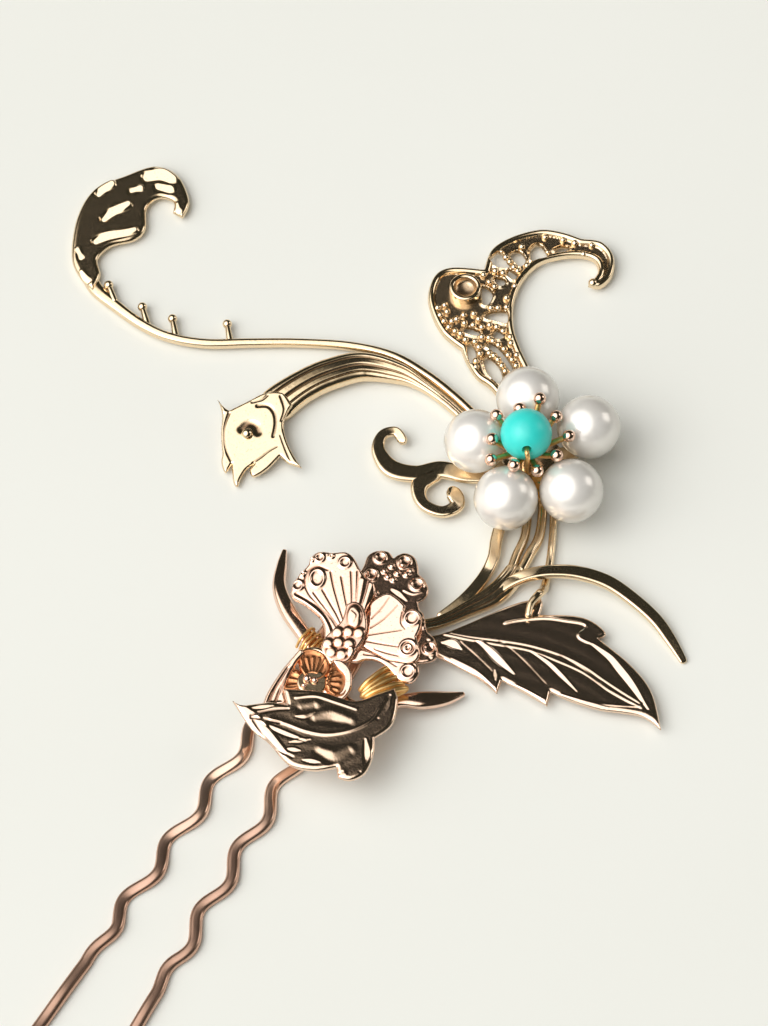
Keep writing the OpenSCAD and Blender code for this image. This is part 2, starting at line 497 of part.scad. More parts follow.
// Columns: x, y and width
upper_curl = [[20.2, 21.6, 1.6], [18.4, 21.4, 1.8], [15.2, 21.6, 2.2], [12, 22.4, 2.5], [8.8, 21.8, 2.4],
    [5.7, 22.6, 2.5], [4.1, 25.2, 1.8], [4.6, 27.4, 1.4], [6.2, 28, 1.3], [7.1, 26.9, 1.3],
    [7, 26.2, 1.3]];
lower_curl = [[12, 22.2, 2], [9.6, 20.7, 2.4], [9.2, 18.8, 1.9], [10.1, 17.1, 1.6],
    [12.2, 16.3, 1.6], [13.9, 17.3, 1.9], [13.5, 18.9, 2.2], [12.6, 19.2, 1.4]];

module cloud_scroll() color(gold) on_fork() translate([0, 0, scroll_top - scroll_t]) {
    for (curl = [upper_curl, lower_curl]) {
        linear_extrude(scroll_t - 0.35) polygon(band(curl, 4));
        linear_extrude(scroll_t) polygon(band(curl, 4, 0.5));
    }
}

// Back of the pearl flower: a disc and five arms, each with a post

back_z = 1.8;
back_t = 0.6;
// Pearls: direction from the flower's middle in degrees and distance from it
pearls = [[95, 7.7], [169, 7.4], [242, 7.7], [308, 7.3], [27, 7.7]];
function pearl_at(i) = concat(flower + pearls[i][1] * [cos(pearls[i][0]), sin(pearls[i][0])],
    [pearl_z]);
// Height that a post reaches into its pearl
post_h = 1.8;

module flower_back() color(gold) on_fork() {
    translate([flower.x, flower.y, back_z]) {
        cylinder(d = 9, h = back_t);
        translate([cap_at.x - flower.x, cap_at.y - flower.y, 0])
            cylinder(d = 1.6, h = cap_z - back_z - 0.1);
        for (p = pearls) rotate(p[0]) translate([0, -1, 0]) cube([p[1], 2, back_t]);
    }
    for (i = [0:4]) translate([pearl_at(i).x, pearl_at(i).y, back_z]) {
        cylinder(d = 2.6, h = back_t);
        cylinder(d = post_d, h = pearl_z - pearl_d / 2 - back_z + post_h);
    }
}

// Pearl with the hole that its post is glued in
module pearl(i) color([0.95, 0.93, 0.9]) on_fork() translate(pearl_at(i)) difference() {
    sphere(d = pearl_d);
    translate([0, 0, -pearl_d / 2 - 1]) cylinder(d = post_d + 0.2, h = 1 + post_h + 0.2);
}
module pearl_1() pearl(0);
module pearl_2() pearl(1);
module pearl_3() pearl(2);
module pearl_4() pearl(3);
module pearl_5() pearl(4);

// Stamens: ten arms with a ball each, spreading from under the bead

cap_z = 6.7;
cap_at = [22.6, 22.2];
// Balls: direction from the middle in degrees, distance from it and height
stamens = [[73, 5.3, 10.5], [40, 4.7, 9.6], [0, 5.1, 9.9], [-38, 4.5, 9.9], [-76, 4.7, 9.2],
    [-111, 5, 10.7], [-146, 5.5, 9.4], [-170, 4.5, 10.5], [145, 4.7, 10.4], [103, 4.2, 9.7]];

module stamen_cap() color(gold) on_fork() translate([cap_at.x, cap_at.y, 0]) {
    translate([0, 0, cap_z]) cylinder(d = 3.2, h = 0.6, $fn = 16);
    for (s = stamens) rotate(s[0]) {
        rib([1.1, 0, cap_z + 0.3], 0.6, [2.5, 0, 7.9], 0.5);
        rib([2.5, 0, 7.9], 0.5, [s[1], 0, s[2]], 0.5);
        translate([s[1], 0, s[2]]) hull() sphere(d = ball_d, $fn = 8);
    }
}

// Turquoise bead, drilled, on a pin that is bent down to the flower's back

bead_at = [22.4, 22, 10.7];
// Angle at which the hole rises to the front
hole_rise = 21;
hole_d = 1.1;
hole_way = [0, -cos(hole_rise), sin(hole_rise)];

module turquoise_bead() color([0.25, 0.8, 0.78]) on_fork() translate(bead_at) difference() {
    sphere(d = bead_d);
    rotate([90 - hole_rise, 0, 0]) cylinder(d = hole_d, h = bead_d + 2, center = true);
}

pin_path = concat([bead_at + hole_way * -3.7, bead_at, bead_at + hole_way * 3.4],
    curve([bead_at + hole_way * 3.7, [22.5, 18.2, 11.4], [22.5, 18.4, 9.8], [22.5, 18.9, 8],
        [22.5, 19, 6]], 2), [[22.5, 19, 2.6]]);

module bead_pin() color(wire_gold) on_fork() wire(pin_path, 0.7, 8);

// Bindings of round wire

// Turns of wire round a flat bundle: middle, direction of the bundle in degrees, half the width
// and half the height of a turn, number of turns and their pitch
module binding(middle, along, half_w, half_h, turns, pitch) {
    steps = 10;
    translate(middle) rotate(along) wire([for (k = [0:turns * steps])
        [(k / steps - turns / 2) * pitch, half_w * sin(360 * k / steps),
            half_h * cos(360 * k / steps)]], tie_d);
}

module left_binding() color(wire_gold) on_fork()
    binding([-5.5, -0.5, 1.9], -59, 1.75, 1.18, 3, 0.62);
module right_binding() color(wire_gold) on_fork()
    binding([5.0, -10.7, 3.7], 65, 2.4, 0.65, 5, 0.62);

hair_fork();
crescent();
butterfly();
plum_blossom();
small_leaf();
large_leaf();
grass_spray();
twig();
filigree_wing();
tendril();
trumpet_flower();
cloud_scroll();
flower_back();
pearl_1();
pearl_2();
pearl_3();
pearl_4();
pearl_5();
stamen_cap();
turquoise_bead();
bead_pin();
left_binding();
right_binding();
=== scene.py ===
"""Gilt hair fork with a cast spray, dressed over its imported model.

The fork is a flat rose-gold wire. Bound to it are castings of a butterfly, a blossom, two leaves,
grass, a trumpet flower, a tendril, a cloud scroll and a pierced wing round a flower of five
imitation pearls and a turquoise bead. Shapes are worked out in millimetres in the spray's own plan,
which is turned by 30 degrees against the fork, and are placed in the row's frame in metres.
"""

import logging
import math
from dataclasses import dataclass, field
from enum import Enum
from typing import Callable, ClassVar, Sequence

import bpy
import numpy as np
from bpy.types import Material, Node, NodeSocket, NodeTree
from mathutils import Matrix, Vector

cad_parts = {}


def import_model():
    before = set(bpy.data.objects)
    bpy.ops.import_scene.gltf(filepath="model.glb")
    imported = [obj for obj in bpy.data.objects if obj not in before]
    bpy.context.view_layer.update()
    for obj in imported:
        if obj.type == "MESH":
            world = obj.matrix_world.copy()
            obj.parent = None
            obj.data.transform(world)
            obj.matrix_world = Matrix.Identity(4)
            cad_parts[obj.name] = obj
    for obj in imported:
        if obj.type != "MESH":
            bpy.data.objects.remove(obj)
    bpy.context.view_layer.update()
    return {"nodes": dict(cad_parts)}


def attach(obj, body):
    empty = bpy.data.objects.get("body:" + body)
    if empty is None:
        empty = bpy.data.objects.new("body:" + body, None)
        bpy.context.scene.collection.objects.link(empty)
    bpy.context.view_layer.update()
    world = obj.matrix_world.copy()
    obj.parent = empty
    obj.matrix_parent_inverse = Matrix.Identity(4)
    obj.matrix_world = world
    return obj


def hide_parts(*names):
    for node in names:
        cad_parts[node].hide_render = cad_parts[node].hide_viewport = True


Array = np.ndarray
Rows = Sequence[Sequence[float]]

LOG = logging.getLogger("hairpin")
MM = 0.001
# Faces that meet at a sharper angle than this keep a hard edge
CREASE = math.radians(55)
# The spray's upright leans by this much from the fork's middle line; its zero lies here on the fork
LEAN = math.radians(30)
SPRAY_ZERO = np.array([-0.65, -2.6, 0.0])
# Direction in the spray's plan: a surface that rises this way faces the large lamp
LIGHTWARDS = np.array([0.61, 0.79])


class Plan(Enum):
    """Which plan a shape's millimetres are given in."""

    FORK = "fork"
    SPRAY = "spray"


def to_row(xyz: Sequence[float] | Array) -> Array:
    """Turns places or directions of the spray's plan into the row's frame.

    Args:
        xyz: the places, with their coordinates last.

    Returns:
        The turned places, in the same unit.
    """
    x, y, z = np.moveaxis(np.asarray(xyz, float), -1, 0)
    c, s = math.cos(LEAN), math.sin(LEAN)
    return np.stack([x * c - y * s, x * s + y * c, z], -1)


# Curves and distances

# Pieces of a line that are measured at a time, to keep the arrays small
BLOCK = 64
# What counts as no length
TINY = 1e-12


def unit(ways: Array) -> Array:
    """Directions made one long."""
    return ways / np.linalg.norm(ways, axis=-1, keepdims=True)


def run_along(places: Array) -> Array:
    """Distance run along a line at each of its places."""
    return np.concatenate([[0], np.cumsum(np.linalg.norm(np.diff(places, axis=0), axis=1))])


def curve(rows: Rows, steps: int = 12) -> Array:
    """Smooth curve through rows of numbers.

    Formula: the uniform Catmull-Rom cubic between each pair of rows, with the end rows repeated.

    Args:
        rows: places, with any further columns such as width carried along.
        steps: samples from one row to the next.

    Returns:
        Rows of samples, ending with the last row.
    """
    p = np.asarray(rows, float)
    i = np.arange(len(p) - 1)
    a, b, c, d = p[np.maximum(i - 1, 0)], p[i], p[i + 1], p[np.minimum(i + 2, len(p) - 1)]
    a, b, c, d = (q[:, None, :] for q in (a, b, c, d))
    t = (np.arange(steps) / steps)[None, :, None]
    cubic = b + 0.5 * t * ((c - a) + t * ((2 * a - 5 * b + 4 * c - d) + t * (3 * (b - c) + d - a)))
    return np.vstack([cubic.reshape(-1, p.shape[1]), p[-1:]])


def evenly(rows: Array, spacing: float, across: int = 2) -> Array:
    """Rows resampled at equal distances.

    Args:
        rows: samples of a curve.
        spacing: rough distance between the new samples.
        across: number of leading columns that measure distance.

    Returns:
        New rows, with the first and last kept.
    """
    run = run_along(rows[:, :across])
    at = np.linspace(0, run[-1], max(2, int(round(run[-1] / spacing)) + 1))
    return np.stack([np.interp(at, run, rows[:, k]) for k in range(rows.shape[1])], axis=1)


def outline(stretches: Sequence[Rows], spacing: float = 0.2) -> Array:
    """Closed outline of smooth stretches, each starting where the one before it ends.

    Args:
        stretches: places along each stretch.
        spacing: rough distance between samples.

    Returns:
        Samples with the corners kept and the first not repeated.
    """
    return np.vstack([evenly(curve(s), spacing)[:-1] for s in stretches])


def reach(xy: Array, line: Array) -> tuple[Array, Array]:
    """Distance from places to a line of straight pieces, and how far along it the nearest point is.

    Formula: each place is dropped square onto each piece, held to the piece's ends.

    Args:
        xy: places, two columns.
        line: points of the line, two columns.

    Returns:
        Distances, and shares from 0 at the line's start to 1 at its end.
    """
    a, step = line[:-1], np.diff(line, axis=0)
    long2 = np.maximum((step ** 2).sum(1), TINY)
    best, along = np.full(len(xy), np.inf), np.zeros(len(xy))
    for block in np.array_split(np.arange(len(a)), max(1, len(a) // BLOCK)):
        off = xy[:, None, :] - a[None, block]
        t = np.clip((off * step[block]).sum(2) / long2[block], 0, 1)
        far = np.linalg.norm(off - t[..., None] * step[block], axis=2)
        k = far.argmin(1)
        row = np.arange(len(xy))
        nearer = far[row, k] < best
        best = np.where(nearer, far[row, k], best)
        along = np.where(nearer, (block[k] + t[row, k]) / len(a), along)
    return best, along


def at_share(line: Array, along: Array) -> Array:
    """Rows of a line at shares of its number of steps, from 0 at its start to 1 at its end."""
    k = np.clip(along, 0, 1) * (len(line) - 1)
    return np.stack([np.interp(k, np.arange(len(line)), line[:, j]) for j in range(line.shape[1])], -1)


def inside(xy: Array, loop: Array) -> Array:
    """Tells which places lie inside a closed outline.

    Formula: a place is inside if a line from it to the right crosses an odd number of edges.

    Args:
        xy: places, two columns.
        loop: corners of the outline.

    Returns:
        True for each place inside.
    """
    a, b = loop, np.roll(loop, -1, axis=0)
    x, y = xy[:, :1], xy[:, 1:2]
    spans = (a[:, 1] > y) != (b[:, 1] > y)
    slope = (b[:, 0] - a[:, 0]) / np.where(b[:, 1] == a[:, 1], TINY, b[:, 1] - a[:, 1])
    return ((spans & (x < a[:, 0] + (y - a[:, 1]) * slope)).sum(1) % 2) == 1


def grid_quads(nx: int, ny: int) -> Array:
    """Corner numbers of a grid's squares, where the grid's places are numbered row by row."""
    index = np.arange(nx * ny).reshape(nx, ny)
    return np.stack([index[:-1, :-1], index[1:, :-1], index[1:, 1:], index[:-1, 1:]], -1).reshape(-1, 4)


def bump(distance: Array, width: float) -> Array:
    """Smooth rise that is 1 at distance 0 and dies away past the width: a bell curve."""
    return np.exp(-(distance / width) ** 2)


def rise(value: Array, low: float, high: float) -> Array:
    """Smooth step from 0 at low to 1 at high."""
    t = np.clip((value - low) / (high - low), 0, 1)
    return t * t * (3 - 2 * t)


# Surfaces

# A direction that no axis or path here follows
OFF_AXIS = (0.31, 0.17, 0.94)
# Width and depth of the rounded lip of a bead's hole
LIP_W, LIP_H = 0.09, 0.12


@dataclass
class Shell:
    """One closed surface in millimetres, with how much painted shade and patina each place has."""

    points: Array
    faces: Array
    hollow: Array

    def closed(self) -> "Shell":
        """Turns the faces outwards, told by the sign of the volume.

        Returns:
            The shell itself.
        """
        a, b, c, d = (self.points[self.faces[:, k]] for k in range(4))
        if (a * np.cross(b, c)).sum() + (a * np.cross(c, d)).sum() < 0:
            self.faces = self.faces[:, ::-1]
        return self


def rings_to_shell(rings: Array, hollow: Array | None = None) -> Shell:
    """Closed shell over rings of places, with a fan of faces to the middle of each end ring.

    Args:
        rings: places by ring, by place round the ring, by coordinate.
        hollow: how much painted shade and patina each place has, by ring and place.

    Returns:
        The shell, facing outwards. A triangle is a face whose last corner is repeated.
    """
    rows, round_, _ = rings.shape
    grid = np.arange(rows * round_).reshape(rows, round_)
    a, b = grid[:-1], grid[1:]
    quads = np.stack([a, np.roll(a, -1, 1), np.roll(b, -1, 1), b], -1).reshape(-1, 4)
    start, end = rows * round_, rows * round_ + 1
    first, last = grid[0], grid[-1]
    fan_a = np.stack([np.roll(first, -1), first, np.full(round_, start), np.full(round_, start)], -1)
    fan_b = np.stack([last, np.roll(last, -1), np.full(round_, end), np.full(round_, end)], -1)
    points = np.vstack([rings.reshape(-1, 3), rings[0].mean(0), rings[-1].mean(0)])
    shade_and_patina_level = np.zeros(rows * round_) if hollow is None else hollow.reshape(-1)
    return Shell(points, np.vstack([quads, fan_a, fan_b]),
                 np.concatenate([shade_and_patina_level, [shade_and_patina_level[:round_].mean(), shade_and_patina_level[-round_:].mean()]])).closed()


class Section(Enum):
    """Cross-sections of cast strips: half width 1 to each side and height 1."""

    ROUND = "round over a flat back"
    WIRE = "flat wire with rounded edges"
    PLATE = "flat top with wide rounded edges"
    FLAT = "flat top with narrow rounded edges"
    FLUTED = "flat top with three cut grooves"


# Power, root and belly of each section's top, as section_points uses them
SECTION_TOPS = {
    Section.ROUND: (2.2, 0.5, 0.25), Section.WIRE: (3.2, 0.5, 0.35), Section.PLATE: (4.5, 0.6, 0.4),
    Section.FLAT: (9.0, 0.6, 0.5), Section.FLUTED: (6.0, 0.5, 0.4)}
# Grooves of the fluted section: the side that each lies on, its width and its share of the depth
GROOVES = ((0.5, 0.05, 1.0), (-0.05, 0.06, 1.0), (-0.5, 0.04, 0.6))
GROOVE_DEPTH = 0.1
# Painted shade in the grooves, at full depth
GROOVE_SHADE = 0.9
# Half width of a section's flat back
BACK_W = 0.55
# What is left of a strip's width at its very tip
TIP = 0.02


def section_points(kind: Section, count: int) -> Array:
    """Places round a cross-section.

    Formula: the top is belly + (1 - belly) * (1 - |side| ** power) ** root, with places set closer
    towards the edges; the sides slant in to a narrower flat back. Grooves are bell curves cut into
    the top.

    Args:
        kind: the cross-section.
        count: number of places over the top.

    Returns:
        Columns of side from -1 to 1, up from 0 to 1, and painted shade in the grooves.
    """
    power, root, belly = SECTION_TOPS[kind]
    side = np.sin(np.linspace(-math.pi / 2, math.pi / 2, count))
    up = belly + (1 - belly) * (1 - np.abs(side) ** power) ** root
    groove = np.zeros(count)
    if kind is Section.FLUTED:
        groove = sum(share * bump(side - at, width) for at, width, share in GROOVES)
        up = up - GROOVE_DEPTH * groove
    back = np.linspace(BACK_W, -BACK_W, 5)
    return np.vstack([np.stack([side, up, np.clip(GROOVE_SHADE * groove, 0, 1)], -1),
                      np.stack([back, 0 * back, 0 * back], -1)])


def strip(rows: Rows, kind: Section, count: int = 28, spacing: float = 0.25,
          roll: Rows = ((0.0, 0.0),), blunt: float = 1.0) -> Shell:
    """Cast strip lying along a path in the plan.

    Formula: the cross-section is scaled by the width and height and carried along the path, square to
    it; at each end both die away as a quarter circle over half the width.

    Args:
        rows: x, y, underside, width and height along the path.
        kind: the cross-section.
        count: places over its top.
        spacing: distance between rings.
        roll: turn of the section about the path in degrees, tilting its top to the left, at rising
            shares of the path.
        blunt: length of the rounded ends, in half widths.

    Returns:
        The shell.
    """
    r = evenly(curve(rows), spacing)
    run = run_along(r[:, :2])
    ends = np.array([r[0, 3], r[-1, 3]]) * 0.5 * blunt
    # Rings crowd towards the ends, where the quarter circles are steep
    crowd = 1 - np.cos(np.linspace(0, math.pi / 2, 6))[1:]
    at = np.unique(np.concatenate([[TIP * ends[0], run[-1] - TIP * ends[1]], run[1:-1],
                                   crowd * ends[0], run[-1] - crowd * ends[1]]))
    r = np.stack([np.interp(at, run, r[:, k]) for k in range(5)], axis=1)
    near = np.clip(np.minimum(at / ends[0], (run[-1] - at) / ends[1]), 0, 1)
    taper = np.sqrt(np.clip(1 - (1 - near) ** 2, TIP ** 2, 1))
    way = unit(np.gradient(r[:, :2], axis=0))
    left = np.stack([-way[:, 1], way[:, 0]], -1)
    q = section_points(kind, count)
    side = q[None, :, 0] * (r[:, 3] / 2 * taper)[:, None]
    middle = r[:, 4:5] / 2
    up = (q[None, :, 1] - 0.5) * 2 * middle * taper[:, None]
    share, degrees = np.asarray(roll, float).T
    turn = np.radians(np.interp(at / run[-1], share, degrees))[:, None]
    side, up = side * np.cos(turn) - up * np.sin(turn), side * np.sin(turn) + up * np.cos(turn)
    rings = np.empty(side.shape + (3,))
    rings[..., :2] = r[:, None, :2] - left[:, None, :] * side[..., None]
    rings[..., 2] = np.maximum(r[:, 2:3] + middle + up, 0.0)
    return rings_to_shell(rings, np.broadcast_to(q[None, :, 2], side.shape))


def tube(path: Rows, thick: float | Array, across: Sequence[float], count: int = 12) -> Shell:
    """Round wire through places.

    Formula: a circle square to the path is carried along it; its first axis is the path's direction
    crossed with a fixed direction that the path never follows. Its ends close as half balls.

    Args:
        path: places in the plan with their heights.
        thick: diameter, one number or one for each place.
        across: the fixed direction.
        count: places round the wire.

    Returns:
        The shell.
    """
    p = np.asarray(path, float)
    radius = np.broadcast_to(np.asarray(thick, float) / 2, (len(p),))
    way = unit(np.gradient(p, axis=0))
    # Rings of the two half balls, which start and end a little off the poles
    angles = np.linspace(0, math.pi / 2, 5)[:-1]
    cap_a = p[0] - way[0] * (radius[0] * np.cos(angles + 1e-3))[:, None]
    cap_b = p[-1] + way[-1] * (radius[-1] * np.sin(angles[1:]))[:, None]
    scale = np.concatenate([radius[0] * np.sin(angles + 0.06), radius, radius[-1] * np.cos(angles[1:])])
    p = np.vstack([cap_a, p, cap_b])
    way = np.vstack([np.repeat(way[:1], len(cap_a), 0), way, np.repeat(way[-1:], len(cap_b), 0)])
    first = unit(np.cross(way, np.asarray(across, float)))
    second = np.cross(way, first)
    turn = np.arange(count) * 2 * math.pi / count
    ring = first[:, None] * np.cos(turn)[None, :, None] + second[:, None] * np.sin(turn)[None, :, None]
    return rings_to_shell(p[:, None] + ring * scale[:, None, None])


def turned(profile: Rows, centre: Sequence[float], axis: Sequence[float] = (0, 0, 1),
           count: int = 32) -> Shell:
    """Surface of revolution: a profile of [distance from the axis, height] turned about an axis.

    Args:
        profile: the profile from one end of the axis to the other.
        centre: where the profile's zero lies.
        axis: direction of the axis.
        count: places round it.

    Returns:
        The shell.
    """
    up = unit(np.asarray(axis, float))
    side = unit(np.cross(up, OFF_AXIS if abs(up[2]) < 0.9 else (1, 0, 0)))
    other = np.cross(up, side)
    turn = np.arange(count) * 2 * math.pi / count
    ring = np.cos(turn)[:, None] * side + np.sin(turn)[:, None] * other
    p = np.asarray(profile, float)
    p[:, 0] = np.maximum(p[:, 0], 1e-3)
    return rings_to_shell(np.asarray(centre, float) + p[:, None, :1] * ring[None]
                          + p[:, None, 1:2] * up)


def ball(centre: Sequence[float], size: float, count: int = 16) -> Shell:
    """Small ball: a half circle turned about the upright."""
    a = np.linspace(-math.pi / 2, math.pi / 2, count // 2 + 1)
    return turned(np.stack([np.cos(a), np.sin(a)], -1) * size / 2, centre, count=count)


def drilled(size: float, hole: float, centre: Sequence[float], axis: Sequence[float],
            depth: float | None = None, count: int = 72) -> Shell:
    """Bead with a hole along an axis, either right through or to a depth from its lower side.

    Formula: half a circle with the hole's wall, turned about the axis; the hole's lip is rounded.

    Args:
        size: the bead's diameter.
        hole: the hole's diameter.
        centre: the bead's middle.
        axis: direction of the hole.
        depth: depth of the hole, or None for a hole right through.
        count: places round the bead.

    Returns:
        The shell.
    """
    radius, lip = size / 2, math.asin((hole + 2 * LIP_W) / size)
    top = math.pi / 2 if depth is not None else math.pi / 2 - lip
    a = np.linspace(-math.pi / 2 + lip, top, count // 2)
    arc = np.stack([np.cos(a), np.sin(a)], -1) * radius
    low = -radius * math.cos(lip)
    if depth is not None:
        wall = np.array([[1e-3, low + depth], [hole / 2, low + depth], [hole / 2, low + LIP_H]])
        return turned(np.vstack([wall, arc]), centre, axis, count)
    wall = np.array([[hole / 2, -low - LIP_H], [hole / 2, low + LIP_H]])
    shell = turned(np.vstack([arc, wall, arc[:1]]), centre, axis, count)
    # A hole right through is a ring-shaped surface: it has no ends, so the two fans come off
    return Shell(shell.points[:-2], shell.faces[:-2 * count], shell.hollow[:-2]).closed()


@dataclass
class Plate:
    """Casting with one height at each place of its plan.

    Formula: a square grid is laid over the plan; grid places within half a step of the outline are
    moved onto it, the squares inside are kept, the top and the back take their heights from functions
    of place and distance from the edge, and upright sides close it.
    """

    # Outline and openings
    loops: Sequence[Array]
    # Heights, and painted shade and patina, of the top
    height: Callable[[Array, Array], tuple[Array, Array]]
    # Heights of the back
    base: Callable[[Array, Array], Array]
    step: float

    def shell(self) -> Shell:
        """Works the grid out.

        Returns:
            The closed shell of the casting.
        """
        low = np.vstack(self.loops).min(0) - 2 * self.step
        high = np.vstack(self.loops).max(0) + 2 * self.step
        nx, ny = np.ceil((high - low) / self.step).astype(int) + 1
        grid = np.stack(np.meshgrid(np.arange(nx), np.arange(ny), indexing="ij"), -1)
        xy = low + grid.reshape(-1, 2) * self.step
        within = np.zeros(len(xy), int)
        near, foot = np.full(len(xy), np.inf), xy.copy()
        for loop in self.loops:
            within += inside(xy, loop)
            ring = np.vstack([loop, loop[:1]])
            far, along = reach(xy, ring)
            at = along * len(loop)
            k = np.minimum(at.astype(int), len(loop) - 1)
            spot = ring[k] + (ring[k + 1] - ring[k]) * (at - k)[:, None]
            foot = np.where((far < near)[:, None], spot, foot)
            near = np.minimum(near, far)
        kept = within % 2 == 1
        onto = near < 0.5 * self.step
        xy = np.where(onto[:, None], foot, xy)
        edge_far = np.where(onto, 0, near)
        kept |= onto
        quads = grid_quads(nx, ny)
        middle = xy[quads].mean(1)
        lies_in = sum(inside(middle, loop).astype(int) for loop in self.loops) % 2 == 1
        quads = quads[kept[quads].all(1) & lies_in]
        used, quads = np.unique(quads, return_inverse=True)
        quads = quads.reshape(-1, 4)
        xy, edge_far = xy[used], edge_far[used]
        top, hollow = self.height(xy, edge_far)
        count = len(xy)
        # Sides: the edges that only one square has
        edges = np.stack([quads, np.roll(quads, -1, 1)], -1).reshape(-1, 2)
        key = np.sort(edges, 1)
        _, first, times = np.unique(key, axis=0, return_index=True, return_counts=True)
        rim = edges[first[times == 1]]
        walls = np.stack([rim[:, 1], rim[:, 0], rim[:, 0] + count, rim[:, 1] + count], -1)
        points = np.vstack([np.column_stack([xy, top]), np.column_stack([xy, self.base(xy, edge_far)])])
        faces = np.vstack([quads, quads[:, ::-1] + count, walls])
        return Shell(points, faces, np.concatenate([hollow, hollow * 0]))


def off_middle(xy: Array, at: tuple[float, float], tall: float) -> Array:
    """Distance of places from a middle, in an oval's half widths if it is that much taller."""
    return np.hypot(xy[:, 0] - at[0], (xy[:, 1] - at[1]) / tall)


class Mark:
    """Something cast on or cut into a sheet."""

    def press(self, xy: Array, z: Array, hollow: Array) -> tuple[Array, Array]:
        """Presses the mark into a sheet.

        Args:
            xy: places in the plan.
            z: heights so far.
            hollow: painted shade and patina so far.

        Returns:
            Heights, and painted shade and patina, with the mark in them.
        """
        raise NotImplementedError


@dataclass(frozen=True)
class Line(Mark):
    """Fine line, raised where its height is positive and cut in where it is negative; darkened as
    painted shade along a cut and as browner patina along a raised line, or lightened as a painted
    highlight where the amount is negative.

    Formula: a bell curve of the distance to a smooth path, dying away and narrowing by the fade.
    """

    # Share of the fade that goes off the width
    NARROWING: ClassVar[float] = 0.6
    path: Rows
    width: float = 0.14
    height: float = -0.07
    patina_and_shade: float = 0.8
    fade: float = 0.3

    def press(self, xy: Array, z: Array, hollow: Array) -> tuple[Array, Array]:
        """Presses the line in.

        Args:
            xy: places in the plan.
            z: heights so far.
            hollow: painted shade and patina so far.

        Returns:
            Heights, and painted shade and patina, with the line in them.
        """
        far, along = reach(xy, curve(self.path, 6))
        left = (1 - self.fade * along) * bump(far, self.width * (1 - self.NARROWING * self.fade * along))
        # Darkening along the line: painted shade in a cut, patina on a raised line, a painted highlight
        # where negative
        return z + self.height * left, np.clip(hollow + self.patina_and_shade * left, 0, 1)


@dataclass(frozen=True)
class Ring(Mark):
    """Raised ring, round or oval, round a shallow dish, with lines of painted shade inside and outside
    it, lighter lines where the amount is negative, and a painted highlight on its lip where most of
    the painted shade and patina is taken off.

    Formula: a bell curve of the distance to the ring, and a shallower bell over its middle.
    """

    # Widths of the ring and of the lines of painted shade, inner and outer, and how far off the ring they
    # lie
    LIP_W: ClassVar[float] = 0.17
    LINE_W: ClassVar[tuple[float, float]] = (0.11, 0.1)
    LINE_FAR: ClassVar[float] = 0.27
    at: tuple[float, float]
    radius: float
    height: float = 0.16
    patina_and_shade: float = 0.5
    tall: float = 1.0

    def press(self, xy: Array, z: Array, hollow: Array) -> tuple[Array, Array]:
        """Presses the ring in.

        Args:
            xy: places in the plan.
            z: heights so far.
            hollow: painted shade and patina so far.

        Returns:
            Heights, and painted shade and patina, with the ring in them.
        """
        far = off_middle(xy, self.at, self.tall)
        off = far - self.radius
        lip, dish = bump(off, self.LIP_W), bump(far, self.radius * 0.6)
        # Lines of painted shade at the inner and outer feet of the ring, and a painted highlight on its lip
        brown = bump(off + self.LINE_FAR, self.LINE_W[0]) + 0.7 * bump(off - self.LINE_FAR, self.LINE_W[1])
        return (z + self.height * (lip - 0.25 * dish),
                np.clip(hollow * (1 - 0.8 * lip) + self.patina_and_shade * brown, 0, 1))


@dataclass(frozen=True)
class Dome(Mark):
    """Flat round or oval boss with a line of painted shade at its foot, and no painted shade or patina
    over most of its top.

    Formula: height times the root of 1 - (distance / radius) ** 2 over what lies under it.
    """

    at: tuple[float, float]
    radius: float
    height: float = 0.3
    patina_and_shade: float = 0.7
    tall: float = 1.0

    def press(self, xy: Array, z: Array, hollow: Array) -> tuple[Array, Array]:
        """Presses the boss in.

        Args:
            xy: places in the plan.
            z: heights so far.
            hollow: painted shade and patina so far.

        Returns:
            Heights, and painted shade and patina, with the boss in them.
        """
        far = off_middle(xy, self.at, self.tall) / self.radius
        over = 1 - rise(far, 0.75, 0.95)
        # Line of painted shade round the boss's foot
        foot = bump((far - 1.05) * self.radius, 0.1)
        return (z + self.height * np.sqrt(np.clip(1 - far ** 2, 0, 1)),
                np.clip(hollow * (1 - over) + self.patina_and_shade * foot, 0, 1))


@dataclass(frozen=True)
class Glint(Mark):
    """Facet that leans towards the large lamp. Its rows are x, y and half width.

    Formula: inside a band along a path the surface is tilted about the path, or about the path's
    middle where it is one whole facet, rising by the lean; the tilt fades over a soft border.
    """

    rows: Rows
    lean: tuple[float, float] = (0.14, 0.18)
    soft: float = 0.16
    whole: bool = False

    def press(self, xy: Array, z: Array, hollow: Array) -> tuple[Array, Array]:
        """Presses the facet in.

        Args:
            xy: places in the plan.
            z: heights so far.
            hollow: painted shade and patina so far.

        Returns:
            Heights, and painted shade and patina, with the facet in them.
        """
        line = curve(self.rows, 8)
        far, along = reach(xy, line[:, :2])
        foot = at_share(line, along)
        share = 1 - rise(far - foot[:, 2], -self.soft, self.soft)
        about = line[:, :2].mean(0) if self.whole else foot[:, :2]
        # Most of the painted shade and patina is taken off inside the band: a painted highlight on the lit
        # facet
        return z + share * ((xy - about) @ np.array(self.lean)), hollow * (1 - 0.8 * share)


